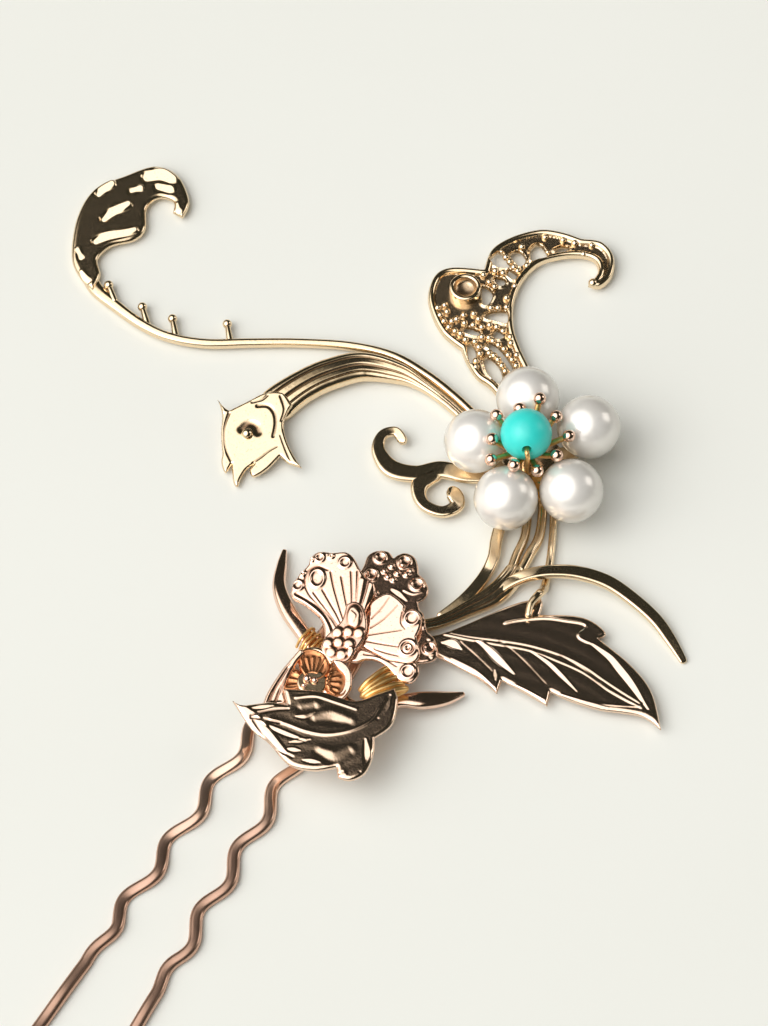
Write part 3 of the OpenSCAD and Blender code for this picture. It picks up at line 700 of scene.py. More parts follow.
@dataclass
class Sheet:
    """Cast sheet whose top is drawn by marks on a plane.

    Formula: the plane rises by the slope along LIGHTWARDS from the pivot; the edge drops by a quarter
    ellipse, a raised rim is a bell curve of the distance from the edge, and shallow waves run along
    a spine; the back is the same plane lower by the thickness, cut away under the edge.
    """

    edge: Sequence[Rows]
    level: float
    thick: float = 0.6
    slope: float = 0.0
    pivot: tuple[float, float] = (0.0, 0.0)
    # Width and drop of the rounded edge
    bevel: tuple[float, float] = (0.4, 0.3)
    # Distance from the edge, width and height of the raised rim
    rim: tuple[float, float, float] = (0.4, 0.3, 0.0)
    marks: Sequence[Mark] = ()
    # Spine, height and spacing of shallow waves that run along it
    waves: tuple[Rows, float, float] | None = None
    # Painted shade and patina over the whole top
    shade_and_patina_level: float = 0.0
    step: float = 0.1

    # Thickness left at the edge, and height over the ground that no back goes below
    EDGE_T: ClassVar[float] = 0.12
    LOWEST: ClassVar[float] = 0.02

    def plane(self, xy: Array) -> Array:
        """Height of the plane at places."""
        return self.level + self.slope * ((xy - np.asarray(self.pivot)) @ LIGHTWARDS)

    def top(self, xy: Array, inset: Array) -> tuple[Array, Array]:
        """Works the top out.

        Args:
            xy: places in the plan.
            inset: their distances from the nearest edge.

        Returns:
            Heights, and painted shade and patina.
        """
        z, hollow = self.plane(xy), np.full(len(xy), self.shade_and_patina_level)
        if self.waves:
            spine, height, spacing = self.waves
            far, _ = reach(xy, curve(spine, 6)[:, :2])
            z = z + height * np.cos(2 * math.pi * far / spacing) * rise(inset, 0.2, 0.8)
        z = z + self.rim[2] * bump(inset - self.rim[0], self.rim[1])
        for mark in self.marks:
            z, hollow = mark.press(xy, z, hollow)
        t = np.clip(1 - inset / self.bevel[0], 0, 1)
        # The painted shade and patina fades out over the last 0.2 mm before the edge
        return z - self.bevel[1] * (1 - np.sqrt(1 - 0.98 * t * t)), hollow * rise(inset, 0, 0.2)

    def back(self, xy: Array, inset: Array) -> Array:
        """Works the back out, which is cut away under the edge so that only a thin side is left.

        Args:
            xy: places in the plan.
            inset: their distances from the nearest edge.

        Returns:
            Heights.
        """
        deep = self.thick - self.bevel[1] - self.EDGE_T
        cut = np.clip(1 - inset / (0.8 * deep), 0, 1)
        return np.maximum(self.plane(xy) - self.thick + deep * cut, self.LOWEST)

    def shell(self) -> Shell:
        """The closed shell of the sheet."""
        return Plate([outline(self.edge)], self.top, self.back, self.step).shell()


def make_piece(name: str, shells: Sequence[Shell], finish: Material,
               replaces: Sequence[str], plan: Plan = Plan.SPRAY) -> None:
    """Makes one named object from shells, put in the row's frame and riding with the hairpin.

    Args:
        name: the piece's name.
        shells: its surfaces in millimetres.
        finish: its material.
        replaces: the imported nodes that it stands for.
        plan: the plan that the millimetres are in.
    """
    offsets = np.cumsum([0] + [len(s.points) for s in shells])
    points = np.vstack([s.points for s in shells])
    faces = np.vstack([s.faces + k for s, k in zip(shells, offsets)])
    if plan is Plan.SPRAY:
        points = to_row(points) + SPRAY_ZERO
    three = faces[:, 3] == faces[:, 2]
    starts = np.concatenate([[0], np.cumsum(np.where(three, 3, 4))[:-1]])
    corners = faces[np.stack([np.ones(len(faces), bool)] * 3 + [~three], -1)]
    mesh = bpy.data.meshes.new(name)
    mesh.vertices.add(len(points))
    mesh.vertices.foreach_set("co", (points * MM).astype(np.float32).ravel())
    mesh.loops.add(len(corners))
    mesh.loops.foreach_set("vertex_index", corners.astype(np.int32))
    mesh.polygons.add(len(faces))
    mesh.polygons.foreach_set("loop_start", starts.astype(np.int32))
    mesh.polygons.foreach_set("use_smooth", np.ones(len(faces), bool))
    mesh.update(calc_edges=True)
    mesh.validate()
    # Painted shade in recesses, cuts and feet, with patina, stored per place for the finishes to darken by
    shade_and_patina_level = mesh.attributes.new("hollow", "FLOAT", "POINT")
    shade_and_patina_level.data.foreach_set("value", np.concatenate([s.hollow for s in shells]).astype(np.float32))
    mesh.set_sharp_from_angle(angle=CREASE)
    mesh.materials.append(finish)
    piece = bpy.data.objects.new(name, mesh)
    bpy.context.scene.collection.objects.link(piece)
    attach(piece, "root")
    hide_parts(*replaces)
    LOG.info("%s: %d faces", name, len(faces))


# Finishes


def linear(colour: str) -> tuple[float, float, float, float]:
    """Linear colour of an sRGB hex value."""
    parts = [int(colour[k:k + 2], 16) / 255 for k in (1, 3, 5)]
    return (*(p / 12.92 if p <= 0.04045 else ((p + 0.055) / 1.055) ** 2.4 for p in parts), 1.0)


def add_node(tree: NodeTree, kind: str, inputs: dict[str | int, object] | None = None,
             **settings: object) -> Node:
    """Adds a node with its settings and links.

    Args:
        tree: the tree that it goes into.
        kind: Blender's name of the node.
        inputs: output sockets to link, or values, by the name or number of the input that they go into.
        settings: values by the name of an input, with _ for a space, or by the node's own property.

    Returns:
        The node.
    """
    node = tree.nodes.new(kind)
    for name, value in settings.items():
        label = name.replace("_", " ")
        if label in node.inputs:
            node.inputs[label].default_value = value
        else:
            setattr(node, name, value)
    for name, value in (inputs or {}).items():
        if isinstance(value, NodeSocket):
            tree.links.new(value, node.inputs[name])
        else:
            node.inputs[name].default_value = value
    return node


def blank_material(name: str) -> tuple[Material, NodeTree]:
    """Makes a material whose node tree is empty.

    Args:
        name: the material's name.

    Returns:
        The material and its tree.
    """
    material = bpy.data.materials.new(name)
    material.use_nodes = True
    material.node_tree.nodes.clear()
    return material, material.node_tree


def clouded(tree: NodeTree, scale: float, detail: float, colours: tuple[str, str]
            ) -> tuple[NodeSocket, NodeSocket]:
    """Adds a colour that wanders between two, by a noise over the piece's own coordinates.

    Args:
        tree: the tree that the nodes go into.
        scale: patches to a metre.
        detail: octaves of the noise.
        colours: the two colours.

    Returns:
        The colour and the noise.
    """
    place = add_node(tree, "ShaderNodeTexCoord")
    noise = add_node(tree, "ShaderNodeTexNoise", {"Vector": place.outputs["Object"]}, Scale=scale,
                     Detail=detail)
    tint = add_node(tree, "ShaderNodeMix", {"Factor": noise.outputs["Fac"], 6: linear(colours[0]),
                                            7: linear(colours[1])}, data_type="RGBA")
    return tint.outputs[2], noise.outputs["Fac"]


@dataclass(frozen=True)
class CastPlate:
    """Gold plate over a polished metal body.

    The plate gives pale mirrors, pinker where it holds more copper. The body's skin under it ripples
    them over a millimetre or two, and its casting grain sets pale points in the dark parts. Fine
    scratches spread part of the light into a soft haze, so that the mirrors of dark things aren't
    black. Painted shade in recesses, with patina and the casting specks, makes the gold browner and
    duller.
    """

    name: str
    gold: str
    # Colour that patina and painted shade turn the gold towards
    patina_and_shade: str
    smooth: float = 0.09
    ripple_mm: float = 1.7
    ripple_depth_mm: float = 0.012
    # How brown the specks are, and the grain values between which they set in
    specks: float = 0.2
    speck_rise: tuple[float, float] = (0.56, 0.72)
    # Share of the scratches' light, and their roughness
    haze: float = 0.04
    haze_rough: float = 0.42
    grain_mm: float = 0.3
    grain_depth_mm: float = 0.002
    # Roughness over the grain, as shares of the smooth one, and what full patina and painted shade add to it
    grain_rough: tuple[float, float] = (0.7, 1.5)
    patina_and_shade_rough: float = 0.3

    def material(self) -> Material:
        """Makes the material.

        Returns:
            The material.
        """
        material, tree = blank_material(self.name)
        place = add_node(tree, "ShaderNodeTexCoord").outputs["Object"]
        ripple = add_node(tree, "ShaderNodeTexNoise", {"Vector": place},
                          Scale=1 / (self.ripple_mm * MM), Detail=2.0)
        grain = add_node(tree, "ShaderNodeTexNoise", {"Vector": place},
                         Scale=1 / (self.grain_mm * MM), Detail=3.0)
        # Painted shade and patina from the mesh, with the casting specks added
        hollow = add_node(tree, "ShaderNodeAttribute", attribute_name="hollow")
        speck = add_node(tree, "ShaderNodeMapRange", {"Value": grain.outputs["Fac"]},
                         From_Min=self.speck_rise[0], From_Max=self.speck_rise[1], To_Max=self.specks)
        shade_and_patina_level = add_node(tree, "ShaderNodeMath", {0: hollow.outputs["Fac"], 1: speck.outputs["Result"]},
                        operation="ADD", use_clamp=True)
        tint = add_node(tree, "ShaderNodeMix", {"Factor": shade_and_patina_level.outputs[0], 6: linear(self.gold),
                                                7: linear(self.patina_and_shade)}, data_type="RGBA")
        dull = add_node(tree, "ShaderNodeMapRange", {"Value": grain.outputs["Fac"]},
                        To_Min=self.smooth * self.grain_rough[0], To_Max=self.smooth * self.grain_rough[1])
        duller = add_node(tree, "ShaderNodeMath", {0: shade_and_patina_level.outputs[0], 1: self.patina_and_shade_rough,
                                                   2: dull.outputs["Result"]}, operation="MULTIPLY_ADD")
        wave = add_node(tree, "ShaderNodeBump", {"Height": ripple.outputs["Fac"]},
                        Distance=self.ripple_depth_mm * MM, Strength=1.0)
        points = add_node(tree, "ShaderNodeBump",
                          {"Height": grain.outputs["Fac"], "Normal": wave.outputs["Normal"]},
                          Distance=self.grain_depth_mm * MM, Strength=1.0)
        mirror = add_node(tree, "ShaderNodeBsdfPrincipled",
                          {"Base Color": tint.outputs[2], "Roughness": duller.outputs[0],
                           "Normal": points.outputs["Normal"]}, Metallic=1.0)
        scratches = add_node(tree, "ShaderNodeBsdfPrincipled", {"Base Color": tint.outputs[2]},
                             Metallic=1.0, Roughness=self.haze_rough)
        both = add_node(tree, "ShaderNodeMixShader", {1: mirror.outputs[0], 2: scratches.outputs[0]},
                        Fac=self.haze)
        add_node(tree, "ShaderNodeOutputMaterial", {"Surface": both.outputs[0]})
        return material


@dataclass(frozen=True)
class GiltWire:
    """Drawn brass-gilt copper wire: yellower than the plate, with a soft wide shine."""

    name: str = "gilt_drawn_copper_wire"
    gold: str = "#ffdc9c"
    shade: str = "#e6ad60"
    streak_mm: float = 0.5
    rough: tuple[float, float] = (0.3, 0.45)

    def material(self) -> Material:
        """Makes the material.

        Returns:
            The material.
        """
        material, tree = blank_material(self.name)
        tint, streak = clouded(tree, 1 / (self.streak_mm * MM), 3.0, (self.gold, self.shade))
        dull = add_node(tree, "ShaderNodeMapRange", {"Value": streak}, To_Min=self.rough[0],
                        To_Max=self.rough[1])
        shader = add_node(tree, "ShaderNodeBsdfPrincipled",
                          {"Base Color": tint, "Roughness": dull.outputs["Result"]}, Metallic=1.0)
        add_node(tree, "ShaderNodeOutputMaterial", {"Surface": shader.outputs[0]})
        return material


@dataclass(frozen=True)
class PearlLacquer:
    """Imitation pearl: glass bead dipped in layers of pearl essence.

    The coats give a white body and a soft wide highlight; the grey-taupe towards the rim, mixed in by
    how far the surface faces away, is painted shade.
    """

    name: str = "pearl_lacquered_glass"
    body: str = "#fffdfa"
    blush: str = "#f4efe8"
    # Painted shade that the colour turns to towards the rim
    rim: str = "#a39a8a"
    cloud_mm: float = 3.0
    dimple_mm: float = 0.6
    dimple_depth_mm: float = 0.003

    def material(self) -> Material:
        """Makes the material.

        Returns:
            The material.
        """
        material, tree = blank_material(self.name)
        tint, _ = clouded(tree, 1 / (self.cloud_mm * MM), 1.0, (self.body, self.blush))
        # Painted shade: grey-taupe mixed in where the surface faces away from the view
        facing = add_node(tree, "ShaderNodeLayerWeight", Blend=0.22)
        painted_rim_shade = add_node(tree, "ShaderNodeMix", {"Factor": facing.outputs["Facing"], 6: tint,
                                                       7: linear(self.rim)}, data_type="RGBA")
        place = add_node(tree, "ShaderNodeTexCoord")
        skin = add_node(tree, "ShaderNodeTexNoise", {"Vector": place.outputs["Object"]},
                        Scale=1 / (self.dimple_mm * MM), Detail=1.0)
        dimple = add_node(tree, "ShaderNodeBump", {"Height": skin.outputs["Fac"]},
                          Distance=self.dimple_depth_mm * MM, Strength=1.0)
        shader = add_node(tree, "ShaderNodeBsdfPrincipled",
                          {"Base Color": painted_rim_shade.outputs[2], "Normal": dimple.outputs["Normal"]},
                          Roughness=0.3, Metallic=0.3, Coat_Weight=1.0, Coat_Roughness=0.07)
        add_node(tree, "ShaderNodeOutputMaterial", {"Surface": shader.outputs[0]})
        return material


@dataclass(frozen=True)
class TurquoiseBead:
    """Polished imitation turquoise: an even blue-green stone with a satin skin."""

    name: str = "polished_imitation_turquoise"
    stone: str = "#48e6da"
    deep: str = "#2fd0cb"
    cloud_mm: float = 2.0
    # How far red, green and blue light spread under the skin
    spread_mm: tuple[float, float, float] = (0.3, 0.6, 0.6)

    def material(self) -> Material:
        """Makes the material.

        Returns:
            The material.
        """
        material, tree = blank_material(self.name)
        tint, _ = clouded(tree, 1 / (self.cloud_mm * MM), 4.0, (self.stone, self.deep))
        shader = add_node(tree, "ShaderNodeBsdfPrincipled", {"Base Color": tint},
                          Roughness=0.33, Subsurface_Weight=0.08,
                          Subsurface_Radius=tuple(far * MM for far in self.spread_mm))
        add_node(tree, "ShaderNodeOutputMaterial", {"Surface": shader.outputs[0]})
        return material


@dataclass(frozen=True)
class StudioFloor:
    """Painted studio board: pale and matt, with a faint cloudiness."""

    name: str = "pale_matt_board"
    light: str = "#ecede8"
    dark: str = "#e6e7e1"
    clouds_per_m: float = 12.0

    def material(self) -> Material:
        """Makes the material.

        Returns:
            The material.
        """
        material, tree = blank_material(self.name)
        tint, _ = clouded(tree, self.clouds_per_m, 2.0, (self.light, self.dark))
        shader = add_node(tree, "ShaderNodeBsdfPrincipled", {"Base Color": tint}, Roughness=0.75)
        add_node(tree, "ShaderNodeOutputMaterial", {"Surface": shader.outputs[0]})
        return material


@dataclass
class Finishes:
    """The finishes, made once: plates for castings, leaves, petals and the fork, wire, pearl, stone."""

    rose: Material = field(default_factory=CastPlate(
        "rose_gold_plated_zinc_casting", "#f6d3bd", "#93532f", specks=0.3).material)
    champagne: Material = field(default_factory=CastPlate(
        "champagne_gold_plated_zinc_casting", "#f3dcba", "#6b4524").material)
    leaf: Material = field(default_factory=CastPlate(
        "rose_gold_plated_zinc_leaf_casting", "#f2d6bf", "#6d4a34", smooth=0.1, ripple_mm=2.6,
        specks=0.05, haze=0.035, grain_depth_mm=0.006).material)
    copper: Material = field(default_factory=CastPlate(
        "coppery_gold_plated_zinc_casting", "#eaa878", "#8f4a22", smooth=0.16, specks=0.5,
        haze=0.25).material)
    satin: Material = field(default_factory=CastPlate(
        "rose_gold_plated_steel_wire", "#f6d3bd", "#8a5238", ripple_mm=3.0, ripple_depth_mm=0.02,
        specks=0.04, haze=0.27).material)
    wire: Material = field(default_factory=GiltWire().material)
    pearl: Material = field(default_factory=PearlLacquer().material)
    stone: Material = field(default_factory=TurquoiseBead().material)


# Sub-assemblies


@dataclass
class Fork:
    """Two-pronged fork of flat wire, waved along its prongs and pressed thinner on each wave."""

    prong_l: float = 80.0
    wire_w: float = 1.6
    wire_t: float = 1.15
    crown_r: float = 2.6
    splay: float = 3.1
    wave_h: float = 0.8
    wave_l: float = 9.3
    # Distances below the crown between which the prongs are waved, and over which the waves grow
    # and die away
    waved: tuple[float, float] = (12.0, 54.0)
    fades: tuple[float, float] = (5.0, 6.0)
    # Distance below the crown at which each prong's first full wave lies furthest out
    first_wave: tuple[float, float] = (26.0, 22.8)
    # How much thinner the press leaves each prong on its waves, near the crown and further down
    swell: tuple[float, float] = (0.27, 0.08)
    # Distances below the crown between which the press marks die away
    pressed: tuple[float, float] = (40.0, 56.0)
    # How brown the tips are, and the distances below the crown between which the wire turns brown
    brown: float = 0.45
    browned: tuple[float, float] = (22.0, 42.0)

    def prong(self, side: int, down: Array) -> Array:
        """Works out a prong, whose waves are cosines of the distance below the crown.

        Args:
            side: -1 for the left prong and 1 for the right one.
            down: distances below the crown.

        Returns:
            Rows of x, y, underside, width and height.
        """
        share = np.clip(np.minimum((down - self.waved[0]) / self.fades[0],
                                   (self.waved[1] - down) / self.fades[1]), 0, 1)
        turn = 2 * math.pi * (down - self.first_wave[0 if side < 0 else 1]) / self.wave_l
        # The left prong is pressed harder than the right one
        pressed = rise(-down, -self.pressed[1], -self.pressed[0]) * (0.7 - 0.3 * side)
        swell = self.swell[1] + (self.swell[0] - self.swell[1]) * pressed
        return np.stack([side * (self.crown_r + self.splay * down / self.prong_l)
                         - self.wave_h * share * np.cos(turn),
                         -self.crown_r - down, 0 * down, self.wire_w + 0 * down,
                         self.wire_t - swell * (1 + np.cos(turn)) * np.clip(down / 3, 0, 1)], -1)

    def build(self, finishes: Finishes) -> None:
        """Makes the fork's wire, browner towards the tips.

        Args:
            finishes: the finishes to choose from.
        """
        down = np.arange(0, self.prong_l + self.wire_w / 2, 0.4)
        arc = np.radians(np.arange(165, 14, -15))
        crown = np.column_stack([np.cos(arc) * self.crown_r, (np.sin(arc) - 1) * self.crown_r,
                                 0 * arc, 0 * arc + self.wire_w, 0 * arc + self.wire_t])
        rows = np.vstack([self.prong(-1, down)[::-1], crown, self.prong(1, down)])
        wire = strip(rows, Section.WIRE, 36, 0.3)
        wire.hollow = self.brown * rise(-wire.points[:, 1] + 0.8 * wire.points[:, 0], *self.browned)
        make_piece("fork_wire", [wire], finishes.satin, ("hair_fork",), Plan.FORK)


@dataclass
class Crescent:
    """Crescent behind the butterfly, whose two horns show."""

    over_fork: float = 1.35

    def build(self, finishes: Finishes) -> None:
        """Makes the crescent.

        Args:
            finishes: the finishes to choose from.
        """
        z = self.over_fork
        rows = [(-7.5, 11.3, 0.4, 0.6, 0.6), (-7.9, 8.6, 0.6, 1.4, 1.1), (-8.1, 5.4, 0.9, 1.8, 1.3),
                (-7.0, 2.0, 1.2, 2.1, 1.3), (-4.9, -1.6, z, 2.0, 1.2), (-2.7, -5.0, z, 2.2, 1.2),
                (-1.6, -8.4, z, 2.4, 1.2), (0.4, -11.3, z, 2.2, 1.2), (3.5, -11.9, z, 1.9, 1.2),
                (6.7, -10.7, z, 1.7, 1.2), (9.4, -10.5, 1.2, 2.4, 1.3), (12.2, -10.0, 0.9, 1.9, 1.1),
                (14.7, -9.1, 0.6, 0.5, 0.6)]
        make_piece("crescent_horns", [strip(rows, Section.PLATE, 30)], finishes.rose,
                   ("crescent",))


@dataclass
class Butterfly:
    """Butterfly casting: a hind sheet under two fluted upper wings and a lower one, with a beaded body."""

    def left_wing(self) -> Sheet:
        """Upper left wing: ringed tongue ends and lines that run to the body.

        Returns:
            The sheet.
        """
        oval = Line([(-2.1, 5.8), (-3.3, 6.3), (-4.4, 5.8), (-4.9, 4.4), (-4.4, 2.8), (-3, 1),
                     (-1.6, -0.7), (-0.6, -2.4)], 0.13)
        slits = [((-3.8, 2.9), (-2.8, 1.4), (-1.6, -0.3), (-0.4, -2.1)),
                 ((-2.7, 3.2), (-1.8, 1.5), (-0.9, -0.2), (-0.2, -2)),
                 ((-1.7, 5.5), (-1.3, 3.4), (-0.6, 0.8), (0, -1.2)), ((-0.4, 4.8), (0, 2.5), (0.4, 0.4)),
                 ((0.8, 5.4), (0.9, 3), (0.9, 0.6)), ((1.6, 5.4), (1.5, 3), (1.3, 0.7))]
        tongues = [((2.2, 4.2), (1.9, 2.5), (1.5, 0.6)), ((3.3, 3.6), (2.8, 2.1), (2.4, 0.6))]
        beads = [Ring((x, y), 0.22, 0.2, -0.3) for x, y in ((-1.7, 7.5), (-4.1, 7.2), (-5.2, 5.4))]
        return Sheet(
            [((-6.7, 3), (-6.4, 4.2), (-5.6, 5.4), (-4.5, 6.7), (-4.2, 7.6), (-3.2, 8.3), (-1.5, 8.1),
              (0.1, 8.1), (1.1, 7.3), (1.9, 5.7), (2.6, 4.6)),
             ((2.6, 4.6), (3.6, 3.7), (3.7, 2.4), (2.8, 0.6), (2, -1.3), (0.9, -3.6), (-0.1, -5.2),
              (-1.5, -5.6)),
             ((-1.5, -5.6), (-2.8, -4.8), (-2.5, -2.6), (-2.8, -0.8), (-3.8, 0.4), (-5.1, 1.5),
              (-6.2, 2.2), (-6.7, 3))],
            4.9, slope=0.165, pivot=(-2, 2), bevel=(0.35, 0.32), marks=[
                oval, *(Line(s, 0.12, -0.08) for s in slits),
                *(Line(t, 0.4, 0.16, -0.3) for t in tongues),
                Line([(2.8, 4), (2.4, 2.2), (2, 0.9)], 0.14, -0.1),
                Line([(2.6, 0), (2.9, -1), (2.7, -2.6), (2, -3.8), (0.7, -5.4)], 0.16, -0.1),
                Line([(-6.5, 2.5), (-5.1, 1.7), (-3.5, 0.4), (-2.3, -1.1), (-1.7, -3), (-1.7, -4.8)],
                     0.3, 0.14, -0.2, 0),
                Line([(-6, 2.9), (-4.6, 2), (-3.2, 0.9), (-2, -0.8), (-1.2, -2.8)], 0.12, -0.08),
                Ring((-3.4, 4.7), 0.85, tall=1.3), Ring((-5.8, 3.9), 0.6), Ring((-3.1, 7.4), 0.5),
                Ring((0, 6.6), 0.65), *beads])

    def fan(self) -> Sheet:
        """Right wing: a fan of hairlines with two large ringed ends.

        Returns:
            The sheet.
        """
        hairs = [((2.9, -2.9), (4.9, -2.7), (7, -2.5)), ((2.7, -3.7), (4.7, -4.2), (6.5, -4.6)),
                 ((3.2, -2), (4.9, -0.9), (6.5, 0.7)), ((3.3, -0.8), (4.6, 0.5), (5.5, 1.8)),
                 ((3.7, -4.8), (5.3, -5.4), (6.6, -5.8)), ((7.1, -0.2), (6.9, -1.5), (7.4, -2.4))]
        return Sheet(
            [((2, -4.3), (2.6, -2.4), (3, -0.1), (3.2, 1.2), (4.1, 2), (5.3, 2.4), (6.5, 1.7),
              (7.5, 0.6)),
             ((7.5, 0.6), (7.4, 0), (8.4, 0.2), (9.4, -0.8), (9.3, -2.2), (8.8, -3.4)),
             ((8.8, -3.4), (9.1, -4.7), (9.2, -5.8), (8.7, -6.6), (7.7, -6.9), (6.5, -6.6),
              (5.3, -6.3), (3.8, -5.4), (2, -4.3))],
            5.1, slope=0.19, pivot=(5.5, -2), bevel=(0.35, 0.32), marks=[
                *(Line(h, 0.11, -0.07, 0.75) for h in hairs),
                Ring((8.2, -1.1), 0.85, 0.18, 0.6), Ring((7.7, -4.9), 0.95, 0.18), Ring((7.7, -4.9), 0.4)])

    def lower_wing(self) -> Sheet:
        """Lower right wing, a curl with a ringed end.

        Returns:
            The sheet.
        """
        return Sheet(
            [((0.4, -6.2), (1.1, -5.2), (2.1, -4.7), (3.8, -5.4), (5.3, -6.2), (6.5, -6.5), (7.7, -6.7),
              (8.8, -6.8), (9.1, -8.1), (8.4, -9.2), (7.4, -9.3), (6.4, -8.8), (5.3, -7.4), (4.1, -6.4),
              (2.7, -6.1), (1.5, -6.4), (0.4, -6.2))],
            4.6, slope=0.19, pivot=(5.5, -6), bevel=(0.3, 0.3), marks=[
                Ring((7.7, -8), 0.8, 0.18), Line([(2.4, -5.4), (4.4, -5.9), (6.4, -7.2)], 0.12)])

    def hind_sheet(self) -> Sheet:
        """Sheet behind the wings, with bright rings and grains.

        Returns:
            The sheet.
        """
        grains = ((5.8, 7.1), (7.1, 7.1), (5.3, 5.6), (6, 5.2), (7.6, 5.9), (2.6, 5.9), (3.8, 3.3),
                  (8.1, 6.4), (4.9, 6.4), (6.5, 6.1))
        return Sheet(
            [((0.4, 7.7), (1.8, 6.3)),
             ((1.8, 6.3), (2.3, 7.3), (2.8, 8.7), (3.9, 9.4), (5.3, 9.3), (6, 8.4)),
             ((6, 8.4), (6.5, 8.8), (7.4, 9.1), (8.5, 8.6), (9, 7.4), (9.1, 6.1)),
             ((9.1, 6.1), (9.9, 5.2), (10.3, 3.7), (9.8, 2.6), (9, 2.1)),
             ((9, 2.1), (9.2, 1.1), (9.7, 0.4), (10.1, -1.8), (10.9, -2.8), (11.4, -4.1), (11.3, -5.5),
              (10.4, -6.2), (9.2, -6.4)),
             ((9.2, -6.4), (6.8, -6.6), (3.1, -3.2), (0.6, -0.5), (0.4, 7.7))],
            3.9, 1.0, bevel=(0.35, 0.3), shade_and_patina_level=0.15, marks=[
                *(Ring(at, r, 0.2, 0.3) for at, r in (((4.4, 8.3), 0.65), ((7.4, 7.7), 0.7),
                                                      ((3.3, 5.9), 0.7), ((8.9, 4.5), 0.75),
                                                      ((10.4, -4.4), 0.7), ((9.6, -0.9), 0.6))),
                *(Dome(g, 0.4, 0.3, 0.1) for g in grains),
                Glint([(5.9, 3.7, 0.3), (6.6, 3.2, 0.4), (7.5, 2.3, 0.2)]),
                Line([(7.3, 3.7), (8.4, 3.2), (9.5, 3.5)], 0.12, 0.1, -0.5),
                Glint([(10.3, -3.3, 0.3), (10.9, -4.4, 0.35), (10.5, -5.6, 0.3)])])

    def body(self) -> Sheet:
        """Long head and the small bosses along the body.

        Returns:
            The sheet.
        """
        bosses = ((0.5, -2.9), (1.8, -3.1), (-0.7, -4.2), (0.6, -4.5), (-1.6, -5.4), (-0.3, -5.8),
                  (-0.8, -2.9), (-2, -4.3), (0.9, -5.6))
        return Sheet(
            [((0.2, 0.7), (1.1, 1.1), (2.1, 0.6), (2.6, -0.6), (2.8, -2.2), (2.5, -3.6), (1.5, -5.2),
              (0.6, -6.6), (-0.8, -6.9), (-2.1, -6.4), (-2.9, -5), (-2.5, -3.6), (-1.4, -2.4),
              (-0.3, -1.2), (0.2, 0.7))],
            5.4, 0.8, 0.16, (0, -3), bevel=(0.3, 0.3), shade_and_patina_level=0.2, marks=[
                Dome((1.2, -1), 0.9, 0.25, 0.6, 1.7), *(Dome(at, 0.7, 0.2, 0.6) for at in bosses),
                Line([(0.9, -0.2), (1.5, -0.9), (1.1, -1.8)], 0.1, -0.05, 0.5)])

    def build(self, finishes: Finishes) -> None:
        """Makes the butterfly.

        Args:
            finishes: the finishes to choose from.
        """
        for name, sheet in (("butterfly_left_wing", self.left_wing()), ("butterfly_fan", self.fan()),
                            ("butterfly_lower_wing", self.lower_wing()),
                            ("butterfly_hind_sheet", self.hind_sheet()),
                            ("butterfly_body", self.body())):
            make_piece(name, [sheet.shell()], finishes.rose, ("butterfly",))


